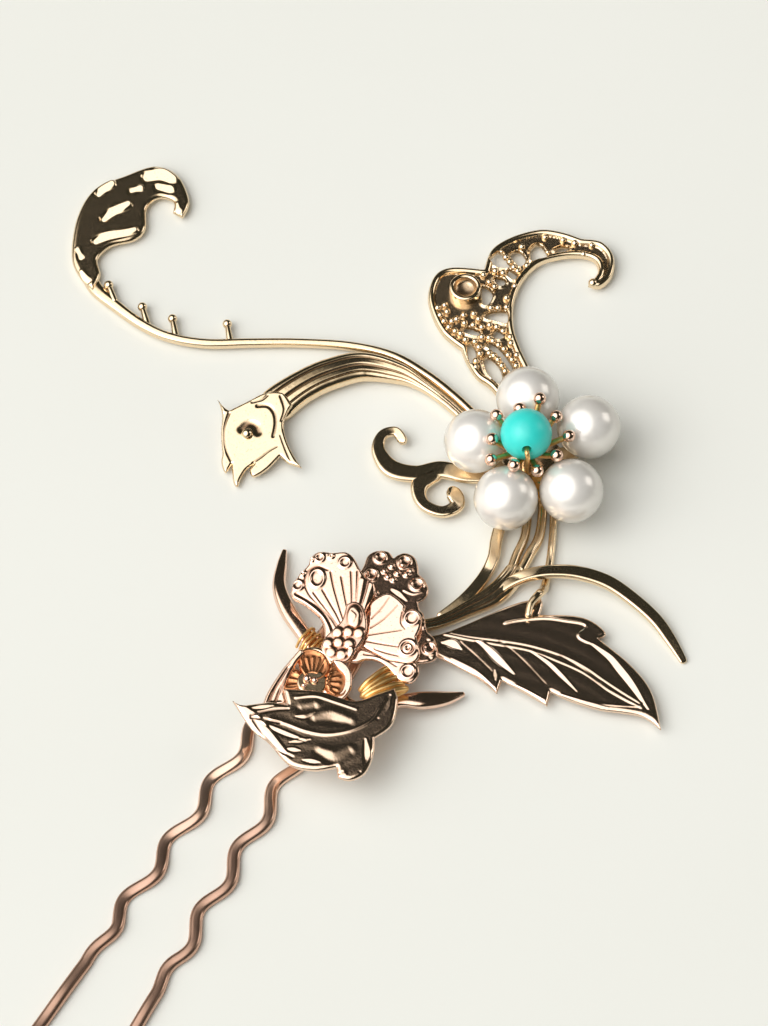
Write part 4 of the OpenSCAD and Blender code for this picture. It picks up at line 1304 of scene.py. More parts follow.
@dataclass
class Blossom:
    """Cupped plum blossom: coppery ribbed petals with pale rims round a dark eye and its pistil."""

    foot: tuple[float, float] = (-3.9, -9.4)
    # Where the ribs of a petal pass, from the foot
    rib_at: tuple[float, float, float] = (1.3, 2.2, 3.3)

    def ribbed(self, edge: Rows, level: float, first: float, last: float, count: int) -> Sheet:
        """Petal with ribs that fan out from the blossom's middle.

        Args:
            edge: its closed outline.
            level: height of its top.
            first: direction of the first rib in degrees.
            last: direction of the last rib.
            count: number of ribs.

        Returns:
            The sheet.
        """
        marks: list[Mark] = []
        for turn in np.radians(np.linspace(first, last, count)):
            way = np.array([math.cos(turn), math.sin(turn)])
            rib = [tuple(self.foot + way * far) for far in self.rib_at]
            marks.append(Line(rib, 0.2, 0.16, -0.3, 0.2))
        return Sheet([edge], level, 0.7, bevel=(0.3, 0.3), rim=(0.34, 0.24, 0.2), marks=marks, shade_and_patina_level=0.5,
                     slope=0.06, pivot=self.foot)

    def outer(self, edge: Rows, level: float, cuts: Sequence[Rows]) -> Sheet:
        """Pale outer petal with cut lines, leaning towards the lamp."""
        return Sheet([edge], level, 0.7, bevel=(0.35, 0.3), rim=(0.3, 0.2, 0.1), slope=0.12,
                     pivot=(-6, -11), marks=[Line(cut, 0.14, -0.12) for cut in cuts])

    def build(self, finishes: Finishes) -> None:
        """Makes the blossom.

        Args:
            finishes: the finishes to choose from.
        """
        x, y = self.foot
        petals = [
            self.ribbed([(-5.6, -5.1), (-4, -4.8), (-2.4, -5.6), (-1.7, -7.4), (-2.2, -8.8), (-3.8, -9.5),
                         (-5, -8.8), (-5.6, -7), (-5.6, -5.1)], 4.5, 62, 128, 6),
            self.ribbed([(-1.8, -7.5), (-0.4, -6.9), (0.6, -8), (0.7, -10), (0, -11.5),
                         (-1.5, -11.4), (-2.4, -9.9), (-2.2, -8.5), (-1.8, -7.5)], 4.6, -35, 40, 6),
            self.ribbed([(-5.8, -7.4), (-7.2, -7.8), (-8.2, -9), (-7.6, -10.3), (-6, -10.4),
                         (-5, -9.7), (-5, -8.4), (-5.8, -7.4)], 4.3, 150, 205, 4)]
        make_piece("blossom_petals", [petal.shell() for petal in petals], finishes.copper,
                   ("plum_blossom",))
        pale = [
            self.outer([(-10.0, -12.4), (-9.3, -10.5), (-7.8, -8.0), (-6.5, -6.3), (-5.4, -5.1),
                        (-4.9, -5.7), (-5.8, -6.9), (-6.7, -8.7), (-7.3, -10.5), (-7.2, -12.3),
                        (-10.0, -12.4)], 4.6, [((-9.2, -12.2), (-8.3, -10.0), (-6.9, -7.6)),
                                               ((-8.4, -12.3), (-7.7, -10.2), (-6.4, -7.5))]).shell(),
            self.outer([(-4.4, -10), (-2.4, -10), (-1.6, -11.6), (-2.6, -13.2), (-4.6, -13),
                        (-5.2, -11.4), (-4.4, -10)], 4.0, [((-3.6, -10.4), (-3.4, -12.6))]).shell(),
            Sheet([[(-1.5, -6.6), (-0.3, -6.8), (0.7, -7.9), (0.95, -9.6), (0.55, -11), (-0.5, -12),
                    (-0.9, -11.3), (-0.3, -10.6), (0, -9.6), (-0.1, -8.6), (-0.8, -7.8), (-1.5, -6.6)]],
                  5.0, 0.6, 0.15, (0, -9.5), bevel=(0.2, 0.2), rim=(0.2, 0.2, 0)).shell(),
            *(ball((x + dx, y + dy, 4.8), size, 18) for dx, dy, size in (
                (-0.6, 0.3, 1.1), (0.3, 0.1, 0.9), (-1, -0.6, 0.7)))]
        make_piece("blossom_rims_and_pistil", pale, finishes.rose, ("plum_blossom",))
        dark = [
            strip([(-6.4, -8, 3.9, 0.5, 0.6), (-6, -6.6, 4, 0.6, 0.7), (-5, -5.3, 4, 0.7, 0.8),
                   (-3.6, -4.9, 4, 0.7, 0.8), (-2.3, -5.6, 4, 0.7, 0.8), (-1.5, -7, 4, 0.6, 0.7)],
                  Section.WIRE, 20, 0.15),
            Sheet([[(x + 1.9 * math.cos(t), y + 1.7 * math.sin(t))
                    for t in np.linspace(0, 2 * math.pi, 13)]], 4.7, 0.6,
                  bevel=(0.2, 0.2), rim=(0.3, 0.2, 0), shade_and_patina_level=0.3).shell()]
        make_piece("blossom_eye_and_upper_rim", dark, finishes.champagne, ("plum_blossom",))


@dataclass
class Leaf:
    """Serrated leaf: a flat blade with cut lines and with facets that catch the lamp."""

    name: str
    node: str
    blade: Sheet
    stem: Sequence[Rows] = ()

    def build(self, finishes: Finishes) -> None:
        """Makes the leaf.

        Args:
            finishes: the finishes to choose from.
        """
        shells = [self.blade.shell(), *(strip(rows, Section.ROUND, 20, 0.2) for rows in self.stem)]
        make_piece(self.name, shells, finishes.leaf, (self.node,))


def lit_lines(paths: Sequence[Rows], half: float, lean: tuple[float, float] = (0.18, 0.24)) -> list[Mark]:
    """Narrow facets along paths, widest in their middles.

    Args:
        paths: places along each.
        half: half of the greatest width.
        lean: how steeply they rise towards the lamp.

    Returns:
        The marks.
    """
    marks: list[Mark] = []
    for path in paths:
        places = evenly(curve(path, 8), 0.4)
        # Half a sine on top of a third of the width at the ends
        wide = half * (0.35 + 0.65 * np.sin(np.linspace(0, math.pi, len(places))))
        marks.append(Glint(np.column_stack([places, wide]).tolist(), lean, 0.12))
    return marks


SMALL_LEAF = Leaf(
    "small_leaf_casting", "small_leaf", Sheet(
        (((-13.6, -12.4), (-12.2, -13.1), (-9, -12.7), (-6.9, -13.1)),
         ((-6.9, -13.1), (-7.4, -10.9)),
         ((-7.4, -10.9), (-3, -11.2), (1.1, -12.5), (4, -11.6), (6.1, -10.8)),
         ((6.1, -10.8), (6.5, -12.6), (5.8, -15.8), (3.7, -17.6)),
         ((3.7, -17.6), (3.6, -19.8), (2.6, -22.3), (0.9, -23.3), (-0.7, -23)),
         ((-0.7, -23), (-0.9, -21.6)),
         ((-0.9, -21.6), (-3.6, -22), (-6.6, -21.2), (-9, -18.3), (-11.2, -16.3), (-13.6, -12.4))),
        5.9, 0.75, bevel=(0.5, 0.4), marks=[
            Line([(-8.8, -15.2), (-7.1, -15.7), (-4.7, -16.7), (-2.3, -17.2), (0.1, -16.9), (1.9, -16.2),
                  (3.4, -15.2), (4.3, -13.7), (5, -12.6)], 0.17, 0.1, 0.1, 0.1),
            Line([(-5.8, -12.2), (-3.5, -12), (-1.1, -12.8), (1.5, -13.8)], 0.14, 0.08, 0.1),
            Glint([(-12.4, -13.4, 0.3), (-10.9, -15.1, 0.75), (-9.3, -17.2, 0.7), (-7.2, -19.6, 0.35)]),
            Line([(-11.2, -14.6), (-9.9, -14.2), (-8.4, -13.9), (-6.8, -13.8)], 0.15, -0.12),
            Line([(-11.2, -14.9), (-9.2, -15.3), (-7.7, -15.6)], 0.15, -0.12),
            Line([(-10.9, -15.3), (-9.8, -17.1), (-8.3, -19), (-6.2, -20.3)], 0.15, -0.12),
            *lit_lines([[(-11.2, -13.7), (-8.6, -13.3)], [(-9.9, -15.7), (-7.1, -17.1), (-4.7, -18)],
                        [(-5.8, -14.8), (-4.7, -14.8), (-3.6, -14.2)], [(-6.5, -18.3), (-4.1, -17.9)],
                        [(-6.9, -19.2), (-5.3, -19.4)], [(-4.9, -20.7), (-2.9, -21)]], 0.34),
            *lit_lines([[(2.6, -17.9), (2.8, -19.4), (2.8, -21), (2, -22.2)], [(-0.1, -22.2), (-0.2, -22.8)],
                        [(5.6, -11.9), (5, -13.5), (4.1, -15)]], 0.5),
            *(Glint(rows, (0.075, 0.1), 0.6) for rows in (
                [(-3.6, -15, 0.5), (-1.5, -14.8, 0.9), (0.6, -15.4, 0.5)],
                [(-2.9, -19.5, 0.5), (-1.2, -20.2, 0.9), (0.7, -19.4, 0.5)],
                [(-5.2, -13.6, 0.3), (-3.6, -13.2, 0.5)]))],
        waves=([(-8.8, -15.2), (-4.7, -16.7), (0.1, -16.9), (5, -12.6)], 0.004, 1.8)),
    (((3.0, -14.6, 4.6, 0.9, 0.9), (4.2, -12.4, 3.6, 0.6, 0.6), (6, -8.6, 3.4, 0.6, 0.6)),))

LARGE_LEAF = Leaf(
    "large_leaf_casting", "large_leaf", Sheet(
        (((7.6, -1.6), (11.4, -1.2), (15, 0.3), (18.4, 2), (21.4, 3.3), (24.2, 4)),
         ((24.2, 4), (24.4, 3), (24, 1.6)),
         ((24, 1.6), (28, 1.5), (30.4, 0.7), (32.1, -1), (31.2, -1.8)),
         ((31.2, -1.8), (35, -5.4), (37.5, -9.2), (38.5, -14.4)),
         ((38.5, -14.4), (36, -12.5), (31, -11.6), (27.5, -10.4), (25.1, -9.2)),
         ((25.1, -9.2), (24.7, -11.1)),
         ((24.7, -11.1), (21.8, -9.2), (19.2, -7.6)),
         ((19.2, -7.6), (18.6, -9.4)),
         ((18.6, -9.4), (16.2, -7.2), (12.5, -5), (10.2, -4), (7.8, -3.6), (7.6, -1.6))),
        1.78, 1.0, bevel=(0.5, 0.38), marks=[
            *(Line(p, 0.12, 0.07, 0.25, 0.1) for p in (
                [(12.1, -0.9), (15.4, -1.6), (19, -2.1), (22.7, -2.8), (26.4, -4.1), (29.4, -5.8),
                 (31.8, -7.7), (34.2, -9.5), (36.2, -10.9)],
                [(12.1, -1.2), (15.4, -2), (19, -2.7), (22.7, -3.5), (26.4, -5.1), (29.4, -6.7),
                 (31.8, -8.7), (34.2, -10.3), (36.2, -11.4)])),
            Line([(26.3, -9.6), (29.9, -10.7), (32.9, -11.1), (36.1, -11.3)], 0.12, 0.06, 0.2, 0.3),
            Line([(31.2, -7.9), (33.6, -9.8), (36.1, -11.4)], 0.12, 0.05, 0.3, 0.3),
            Line([(19.7, 0.3), (21.5, 0.7), (24.6, 1), (27.4, 0.6), (29.4, 0.2), (29.6, -0.5),
                  (28.8, -1.2), (28.9, -1.8), (30.1, -2.5)], 0.13, 0.1, -0.1, 0),
            *(Line(p, 0.14, -0.03, 0.3, 0.4) for p in (
                [(19, -2.2), (21.5, -4.6), (24.5, -8.2)], [(26.4, -4.2), (29.4, -6.5), (31.8, -9)],
                [(14.1, -2.4), (16.3, -4.6), (18, -6.5)])),
            *lit_lines([[(22.8, -3.7), (24.9, -5.3), (26.6, -7.2), (28.3, -9.2)],
                        [(13.1, -4.7), (14.5, -5.6), (16, -6.6), (17.4, -7.9), (18.2, -8.8)],
                        [(19.3, -7.9), (20.6, -8.5), (22.1, -9.3), (24.4, -10.5)],
                        [(18.4, -6.3), (18.4, -7.6)], [(26.1, -9.7), (29.2, -10.9), (32, -11.5)]], 0.36),
            *lit_lines([[(30.1, -2.5), (31.3, -3.5), (32.5, -4.6), (33.5, -6), (34.6, -7.6),
                         (35.5, -9.1), (36.2, -10.4), (36.9, -11.6)],
                        [(16.2, -2.2), (17.4, -3.2), (19, -5), (20.6, -6.7)]], 0.55),
            *lit_lines([[(12, -2.5), (13.2, -2.6), (14.2, -3.3)]], 0.6)],
        waves=([(9, -1.9), (16.5, -1.4), (26, -3.9), (33.1, -8.5), (37.2, -12.6)], 0.004, 1.9)))


@dataclass
class Grass:
    """Two stems and two blades cast in one, and the twig beside them."""

    trunk: Rows = ((8.2, -0.3, 1.1, 1.6, 1.2), (11.6, 0.6, 0.6, 1.6, 1.4), (15.2, 2.6, 0.3, 2.2, 1.5),
                   (18.4, 4.6, 0.3, 2.9, 1.5), (20.4, 6.8, 0.3, 2.9, 1.5), (21.6, 9, 0.3, 2.6, 1.4))
    stems: Sequence[Rows] = (
        ((20.3, 7.4, 0.3, 1.2, 1.4), (21.2, 10.2, 0.3, 1.2, 1.3), (22.3, 13, 0.3, 1.2, 1.2),
         (22.8, 17, 0.3, 1.2, 1.2), (22.9, 20.5, 0.3, 1.2, 1.2)),
        ((21.6, 7.6, 0.3, 1.3, 1.4), (22.8, 10.2, 0.3, 1.3, 1.3), (24.1, 13, 0.3, 1.3, 1.2),
         (24.6, 17, 0.3, 1.2, 1.2), (24.4, 20.5, 0.3, 1.2, 1.2)))
    left_blade: Rows = ((11.4, 1.2, 0.3, 1.2, 1.2), (14.6, 3.8, 0.3, 1.5, 1.4), (17, 6.8, 0.3, 1.6, 1.4),
                        (18.3, 9.6, 0.3, 1.6, 1.3), (18.8, 12.6, 0.3, 1.6, 1.2),
                        (19.6, 15.4, 0.3, 1.5, 1.2), (21, 17.6, 0.3, 1.3, 1.2))
    right_blade: Rows = ((18.8, 4.8, 0.5, 1.2, 1.1), (20.8, 6.2, 0.95, 1.7, 1.15), (23.2, 7, 1.3, 1.8, 1.2),
                         (26, 7.3, 1.45, 1.8, 1.25), (29, 7.1, 1.3, 1.9, 1.3), (32.4, 6, 1.1, 1.9, 1.2),
                         (35.4, 3.9, 0.8, 1.8, 1.1), (38.2, 1.2, 0.5, 1.7, 1), (40, -1.4, 0.2, 1.5, 0.8),
                         (41.7, -4.5, 0, 0.9, 0.5))
    # Rows x, y, underside, width and height
    twig: Rows = ((26.0, 17.6, 0.3, 1, 1), (25.9, 14.8, 0.25, 1, 1), (25.6, 11.2, 0.2, 1, 1),
                  (25.1, 8, 0.1, 1, 1), (24.8, 6.5, 0.1, 1.1, 1), (24.5, 5.3, 0.7, 1.2, 1),
                  (24, 4.1, 1.95, 1.1, 1), (22.9, 2.6, 2.1, 0.9, 0.9), (22.5, 0.7, 1.95, 0.8, 0.8))

    def build(self, finishes: Finishes) -> None:
        """Makes the grass and the twig.

        Args:
            finishes: the finishes to choose from.
        """
        shells = [strip(self.trunk, Section.FLUTED, 64, 0.2), strip(self.left_blade, Section.FLAT, 36),
                  strip(self.right_blade, Section.FLAT, 40, roll=((0, 12), (0.18, 9), (0.3, 0)), blunt=0.7)]
        shells += [strip(rows, Section.WIRE) for rows in self.stems]
        make_piece("grass_casting", shells, finishes.champagne, ("grass_spray",))
        make_piece("twig_casting", [strip(self.twig, Section.WIRE, 24, 0.2)], finishes.champagne,
                   ("twig",))


@dataclass
class FiligreeWing:
    """Pierced wing: a solid border, raised rims round its openings, chains of grain and a cup."""

    level: float = 1.2
    edge: Sequence[Rows] = (
        ((22.6, 25.2), (21.6, 28.4), (18.7, 33.9), (16.5, 36), (15.2, 38.4), (14.6, 40.2)),
        ((14.6, 40.2), (12.3, 42.4), (10.9, 45.4), (10.4, 48.4), (11.3, 51.4), (13.5, 52.6),
         (17.6, 52.3)),
        ((17.6, 52.3), (18.6, 55.3), (21.3, 57.3), (24.9, 58.4), (27.8, 58), (30.3, 57)),
        ((30.3, 57), (32.9, 56.5), (34.4, 54.4), (34.2, 51.5), (32.6, 49.6), (30.9, 49.9)),
        ((30.9, 49.9), (32.2, 51.8), (31.9, 53.5), (30.1, 54.2), (27.4, 54), (24.6, 52.9),
         (22.6, 50.4), (21.5, 47.2), (21.4, 43.6), (22.2, 40.4), (23.6, 36.6), (24.4, 32),
         (24.4, 28), (24, 25.4)),
        ((24, 25.4), (22.6, 25.2)))
    cells: Sequence[Rows] = (
        ((18.4, 53.8), (19.6, 54.9), (20.4, 54), (20.9, 52.8), (19.4, 52.8)),
        ((21, 54.5), (21.6, 55), (22.4, 54.9), (23, 53.8), (22.4, 52.9), (21.8, 53.4)),
        ((23.7, 55.3), (24.3, 56), (25.1, 55.8), (25.8, 54.3), (24.6, 53.9), (23.8, 53.8)),
        ((26.8, 55.3), (27.6, 55.7), (28.5, 55.6), (28.3, 55.1), (27.2, 54.9)),
        ((20.9, 52.3), (21.8, 51.5), (21.4, 50.9), (20.7, 51.5)),
        ((19.1, 51.1), (20.2, 50.8), (20.3, 50.2), (19.7, 49.9), (19.2, 50.5)),
        ((17.3, 49.7), (18, 49.5), (18.7, 48.5), (18.1, 47.1), (17.5, 47.3)),
        ((17.8, 45.4), (18.6, 45.8), (20.4, 45.8), (20.5, 44.3), (19.2, 44.6), (17.8, 45)),
        ((14.9, 43.1), (15.5, 43.5), (16.9, 42.9), (16.7, 42.4), (15.5, 42.7)),
        ((18.7, 42.5), (19.2, 43.1), (20.1, 42.4), (19.6, 41.9), (18.9, 42.1)),
        ((15.4, 40.7), (15.9, 41), (16.5, 39.6), (15.9, 38), (15.5, 39.3)),
        ((17.9, 40.7), (18.5, 41.1), (19.8, 39.9), (21.2, 37.4), (20.9, 37), (19.3, 39.4)),
        ((17.5, 38.6), (18.1, 39), (19.4, 37.6), (19.8, 36), (19.4, 35.2), (18.1, 36.6)))
    # Grains: x and y
    grains: Rows = (
        (20.5, 54.1), (21, 53.4), (21.5, 52.6), (22, 52), (19.1, 52), (20.1, 51.7), (22.6, 55.7),
        (23.2, 52.8), (21.6, 49.7), (20.5, 47.9), (18.5, 46.4), (19.4, 46.4), (20.5, 46.5),
        (17.6, 51.4), (18.3, 50.3), (19, 49.6), (15.1, 44.1), (16.2, 43.8), (17.3, 43.5), (18.3, 43.8),
        (19.2, 43.5), (20, 42.9), (20.9, 42), (21, 41.1), (21.7, 39.3), (15.2, 41.6), (16.4, 41.3),
        (16.9, 40.5), (17, 39.5), (16.5, 38.4), (16.5, 37.5), (17.3, 42), (18.2, 41.9), (18.7, 41.4),
        (19.4, 40.8), (20.1, 40.2), (20.6, 39.3), (21.1, 38.6), (21.6, 37.7), (18.2, 39.6),
        (18.8, 39.2), (19.3, 38.6), (19.8, 37.7), (20.2, 36.9), (11.7, 46.4), (12.6, 46.8), (12, 45.3),
        (12.9, 45.8), (12.5, 44.4), (13.5, 44.4), (13.1, 43.5), (14.1, 44.7), (13.9, 42.9),
        (14.6, 42.5), (15, 45.3), (16.3, 45.5), (16.9, 44.7))
    cup: tuple[float, float] = (15.2, 49.0)
    # Width and height of the border
    border_w: float = 0.95
    border_h: float = 0.5
    # Distance from an edge, width and height of the rims
    rim: tuple[float, float, float] = (0.2, 0.16, 0.22)
    grain_d: float = 0.96
    # Bosses on the border: x, y and size
    bosses: Rows = ((27.9, 56.8, 0.9), (29.4, 56.3, 1), (31.6, 56, 0.9), (30.5, 54.6, 1),
                    (25.9, 54.9, 0.7), (25.6, 57.2, 0.9), (31.6, 50.2, 1.3))
    # Painted shade on the sheet between the rims and on the bottom of the cup
    sheet_shade: float = 0.35
    cup_shade: float = 0.6

    def sheet(self) -> Shell:
        """Makes the pierced sheet, from which the border and the rims round the openings stand up.

        Returns:
            The shell.
        """
        outer = outline(self.edge)
        outer = np.vstack([outer, outer[:1]])

        def relief(xy: Array, inset: Array) -> tuple[Array, Array]:
            """Heights and painted shade of the top.

            Formula: the border is half an ellipse of the distance to the outline, and the rims are
            bell curves of the distance to the nearest edge.

            Args:
                xy: places in the plan.
                inset: their distances from the nearest edge.

            Returns:
                Heights and painted shade.
            """
            far, _ = reach(xy, outer)
            band = np.sqrt(np.clip(1 - (far / self.border_w * 2 - 1) ** 2, 0, 1))
            at, width, height = self.rim
            rim = bump(inset - at, width)
            z = self.level + np.maximum(self.border_h * band, height * rim) - 0.3 * bump(inset, 0.1)
            # Painted shade on the low sheet between the border and the rims
            between = rise(far, self.border_w * 0.9, self.border_w * 1.1) * (1 - rim)
            return z, self.sheet_shade * between

        def back(_: Array, inset: Array) -> Array:
            """Heights of the back, which slants up under the edges."""
            return 0.1 + 0.75 * np.clip(1 - inset / 0.6, 0, 1)

        loops = [outline(self.edge)] + [outline([[*cell, cell[0]]], 0.15) for cell in self.cells]
        return Plate(loops, relief, back, 0.1).shell()

    def build(self, finishes: Finishes) -> None:
        """Makes the wing.

        Args:
            finishes: the finishes to choose from.
        """
        z = self.level
        grains = [ball((x, y, z + 0.16), self.grain_d, 12) for x, y in self.grains]
        bosses = [ball((x, y, z + 0.1), size, 14) for x, y, size in self.bosses]
        a = np.linspace(0, math.pi, 9)
        lip = np.stack([1.72 + 0.3 * np.cos(a), z + 1.05 + 0.2 * np.sin(a)], -1)
        cup = turned(np.vstack([[(0, 0.12)], [(2.02, 0.12)], lip,
                                [(1.4, z + 0.5), (1.0, z + 0.24), (0.5, z + 0.1), (0, z + 0.06)]]),
                     (self.cup[0], self.cup[1], 0), count=48)
        make_piece("wing_sheet", [self.sheet()], finishes.champagne, ("filigree_wing",))
        far = np.linalg.norm(cup.points[:, :2] - self.cup[:2], axis=1)
        # Painted shade on the cup's floor, fading out towards its wall
        cup.hollow = self.cup_shade * (1 - rise(far, 1.2, 1.6))
        make_piece("wing_cup_and_grain", [cup, *grains, *bosses], finishes.champagne,
                   ("filigree_wing",))


@dataclass
class Tendril:
    """Long tendril with four ball pins and a curled plume."""

    stem: Rows = ((21.6, 24.3, 0.35, 1, 1.2), (18.8, 27.4, 0.35, 1.1, 1.2), (15.9, 31, 0.35, 1.15, 1.2),
                  (13.3, 33.8, 0.35, 1.2, 1.2), (10.2, 36.6, 0.35, 1.2, 1.2), (6, 39.4, 0.35, 1.2, 1.2),
                  (0.6, 40.9, 0.35, 1.2, 1.2), (-6, 41.4, 0.35, 1.2, 1.2), (-12, 41.4, 0.35, 1.25, 1.2),
                  (-17.8, 41.3, 0.35, 1.3, 1.2), (-22.4, 42.2, 0.35, 1.3, 1.2),
                  (-26, 44.1, 0.3, 1.4, 1.2), (-29.4, 47, 0.2, 1.6, 1.1), (-32.2, 49.9, 0.1, 1.9, 1),
                  (-33.6, 53.4, 0, 2.2, 0.9))
    edge: Sequence[Rows] = (
        ((-32.5, 49.3), (-34.2, 51.2), (-35.4, 54.5), (-34.9, 60.4), (-32.8, 64.8), (-28.9, 66.9),
         (-25, 68.4), (-22, 67), (-20.4, 63), (-21.2, 60.4)),
        ((-21.2, 60.4), (-22.5, 61.2)),
        ((-22.5, 61.2), (-22.5, 62.9), (-24.4, 63.4), (-25.9, 61.8), (-26, 58.6), (-27.4, 56.9),
         (-30.3, 56), (-32, 54), (-31.6, 51.6), (-32.5, 49.3)))
    # Turn of the stem about its path, in degrees at shares of its length
    roll: Rows = ((0, 2), (0.3, 2), (0.4, 11), (0.85, 11), (1, 4))
    # Pins: x and y of the foot and of the ball
    pins: Rows = ((-29.7, 47.8, -30.5, 50.1), (-25.4, 44.2, -26.1, 46.8), (-21.7, 42.3, -22.2, 45),
                  (-14.8, 41.6, -15.2, 44.2))

    def plume(self) -> Sheet:
        """Curled plume with a row of broad lit facets.

        Returns:
            The sheet.
        """
        steep, up = (0.12, 0.22), (0.03, 0.28)
        facets = [
            ([(-32.2, 63.9, 0.5), (-31.5, 64.8, 0.7), (-30.6, 65.4, 0.6)], steep, 0.2),
            ([(-31.4, 60.1, 0.5), (-30, 61.3, 0.7), (-28.3, 62.2, 0.5)], steep, 0.2),
            ([(-32.4, 56.6, 0.5), (-30.8, 57.4, 0.7), (-28.8, 57.8, 0.6), (-27.3, 58.3, 0.4)], up, 0.2),
            ([(-25.9, 66.6, 0.8), (-24.2, 66.9, 1), (-22.8, 66.2, 0.8)], steep, 0.2),
            ([(-24.4, 65, 0.6), (-23, 64.6, 0.7)], steep, 0.2),
            ([(-28, 64.3, 0.35), (-26.8, 64.8, 0.5)], steep, 0.2),
            ([(-22, 62.3, 0.3), (-21.8, 61.2, 0.4)], steep, 0.15),
            ([(-34.6, 55.4, 0.3), (-34.2, 54, 0.4)], steep, 0.15),
            ([(-34, 51.9, 0.3), (-33.2, 50.6, 0.45)], steep, 0.15)]
        return Sheet(self.edge, 1.42, 1.4, bevel=(0.6, 0.5), shade_and_patina_level=0.15,
                     marks=[Glint(rows, lean, soft, True) for rows, lean, soft in facets])

    def build(self, finishes: Finishes) -> None:
        """Makes the tendril.

        Args:
            finishes: the finishes to choose from.
        """
        shells = [strip(self.stem, Section.WIRE, 24, roll=self.roll), self.plume().shell()]
        for x0, y0, x1, y1 in self.pins:
            shells += [tube([(x0, y0, 0.9), ((x0 + x1) / 2, (y0 + y1) / 2, 0.95), (x1, y1, 1)],
                            [0.95, 0.8, 0.7], (0, 0, 1), 12), ball((x1, y1, 1), 1.25, 18)]
        make_piece("tendril_casting", shells, finishes.champagne, ("tendril",))


@dataclass
class Trumpet:
    """Trumpet flower: a fluted stalk that widens to a pointed bright mouth with a ball in it."""

    stalk: Rows = ((20.2, 23.4, 0.35, 1, 1.2), (17.6, 26.3, 0.35, 1.1, 1.2), (15.2, 29.6, 0.35, 1.1, 1.2),
                   (12.6, 32.4, 0.35, 1.2, 1.3), (9.8, 34.8, 0.35, 1.5, 1.5), (6.7, 36.6, 0.35, 2.8, 1.8),
                   (2.1, 37.5, 0.35, 4, 2.1), (-2, 36.4, 0.35, 4.3, 2.2), (-5.3, 34.7, 0.35, 4.4, 2.1),
                   (-8.3, 32.4, 0.35, 4.8, 1.8), (-10, 30.3, 0.35, 5.2, 1.3))
    # Turn of the stalk about its path, in degrees at shares of its length
    roll: Rows = ((0, 0), (0.3, 0), (0.37, 11), (0.53, 11), (0.62, 3), (0.8, 5), (1, 9))
    ball_at: tuple[float, float, float] = (-12.4, 27.3, 1.9)
    ball_d: float = 1.5
    edge: Sequence[Rows] = (
        ((-14.7, 30.8), (-15.6, 31.6), (-16.8, 33.4)),
        ((-16.8, 33.4), (-16, 31.9), (-15.6, 30.1), (-15.7, 28), (-15.6, 25.9), (-15.5, 25),
         (-15.6, 23.6), (-15.1, 22.3), (-14.6, 22.8), (-14.3, 23.4)),
        ((-14.3, 23.4), (-14.2, 22), (-14, 20.8), (-13.5, 20.3), (-13.1, 21.4), (-12.4, 22.6),
         (-11.5, 23.3)),
        ((-11.5, 23.3), (-12, 22.5), (-11.7, 21.6), (-11, 21.7), (-9.7, 22.6), (-8.2, 24.2)),
        ((-8.2, 24.2), (-7.2, 23.2), (-5.5, 22.5)),
        ((-5.5, 22.5), (-6.5, 24.2), (-7.4, 26.3), (-7.8, 28.4), (-7.4, 30), (-6.7, 31.1)),
        ((-6.7, 31.1), (-8, 32.9), (-10.2, 33), (-12.3, 32), (-14.7, 30.8)))

    def mouth(self) -> Sheet:
        """Mouth: a sheet that leans to the lamp, with a cut dish for its ball and long lines.

        Returns:
            The sheet.
        """
        return Sheet(self.edge, 1.95, 0.9, 0.14, (-11, 27), bevel=(0.35, 0.32), marks=[
            Glint([(-15.2, 31, 0.6), (-16.2, 32.4, 0.4)], (-0.1, -0.13)),
            Line([(-11.1, 31.2), (-9.8, 31.1), (-9, 30.1), (-8.8, 28.6), (-9.1, 26.9)], 0.2, -0.15),
            Line([(-14.7, 30.3), (-15.3, 28.3), (-15.2, 25.9), (-14.4, 23.8)], 0.16, -0.12),
            Line([(-11.6, 23.4), (-10.5, 24.2), (-9.5, 25), (-8.6, 25.5)], 0.14, -0.08, 0.6),
            Line([(-13, 28.1), (-12.3, 28.8), (-11.4, 28.5), (-11, 27.6)], 0.45, -0.22, 0.8, 0),
            Line([(-8.2, 32.4), (-7.7, 30.6), (-8.1, 29)], 0.16, -0.1, 0.5),
            Line([(-9.9, 32.6), (-10.6, 32), (-11.8, 31.7)], 0.16, -0.1, 0.6),
            Line([(-6.9, 23.4), (-7.6, 25.2), (-8.2, 27)], 0.12, -0.07, 0.5)])

    def build(self, finishes: Finishes) -> None:
        """Makes the trumpet flower.

        Args:
            finishes: the finishes to choose from.
        """
        shells = [strip(self.stalk, Section.FLUTED, 72, 0.2, self.roll), self.mouth().shell(),
                  ball(self.ball_at, self.ball_d, 20)]
        make_piece("trumpet_casting", shells, finishes.champagne, ("trumpet_flower",))


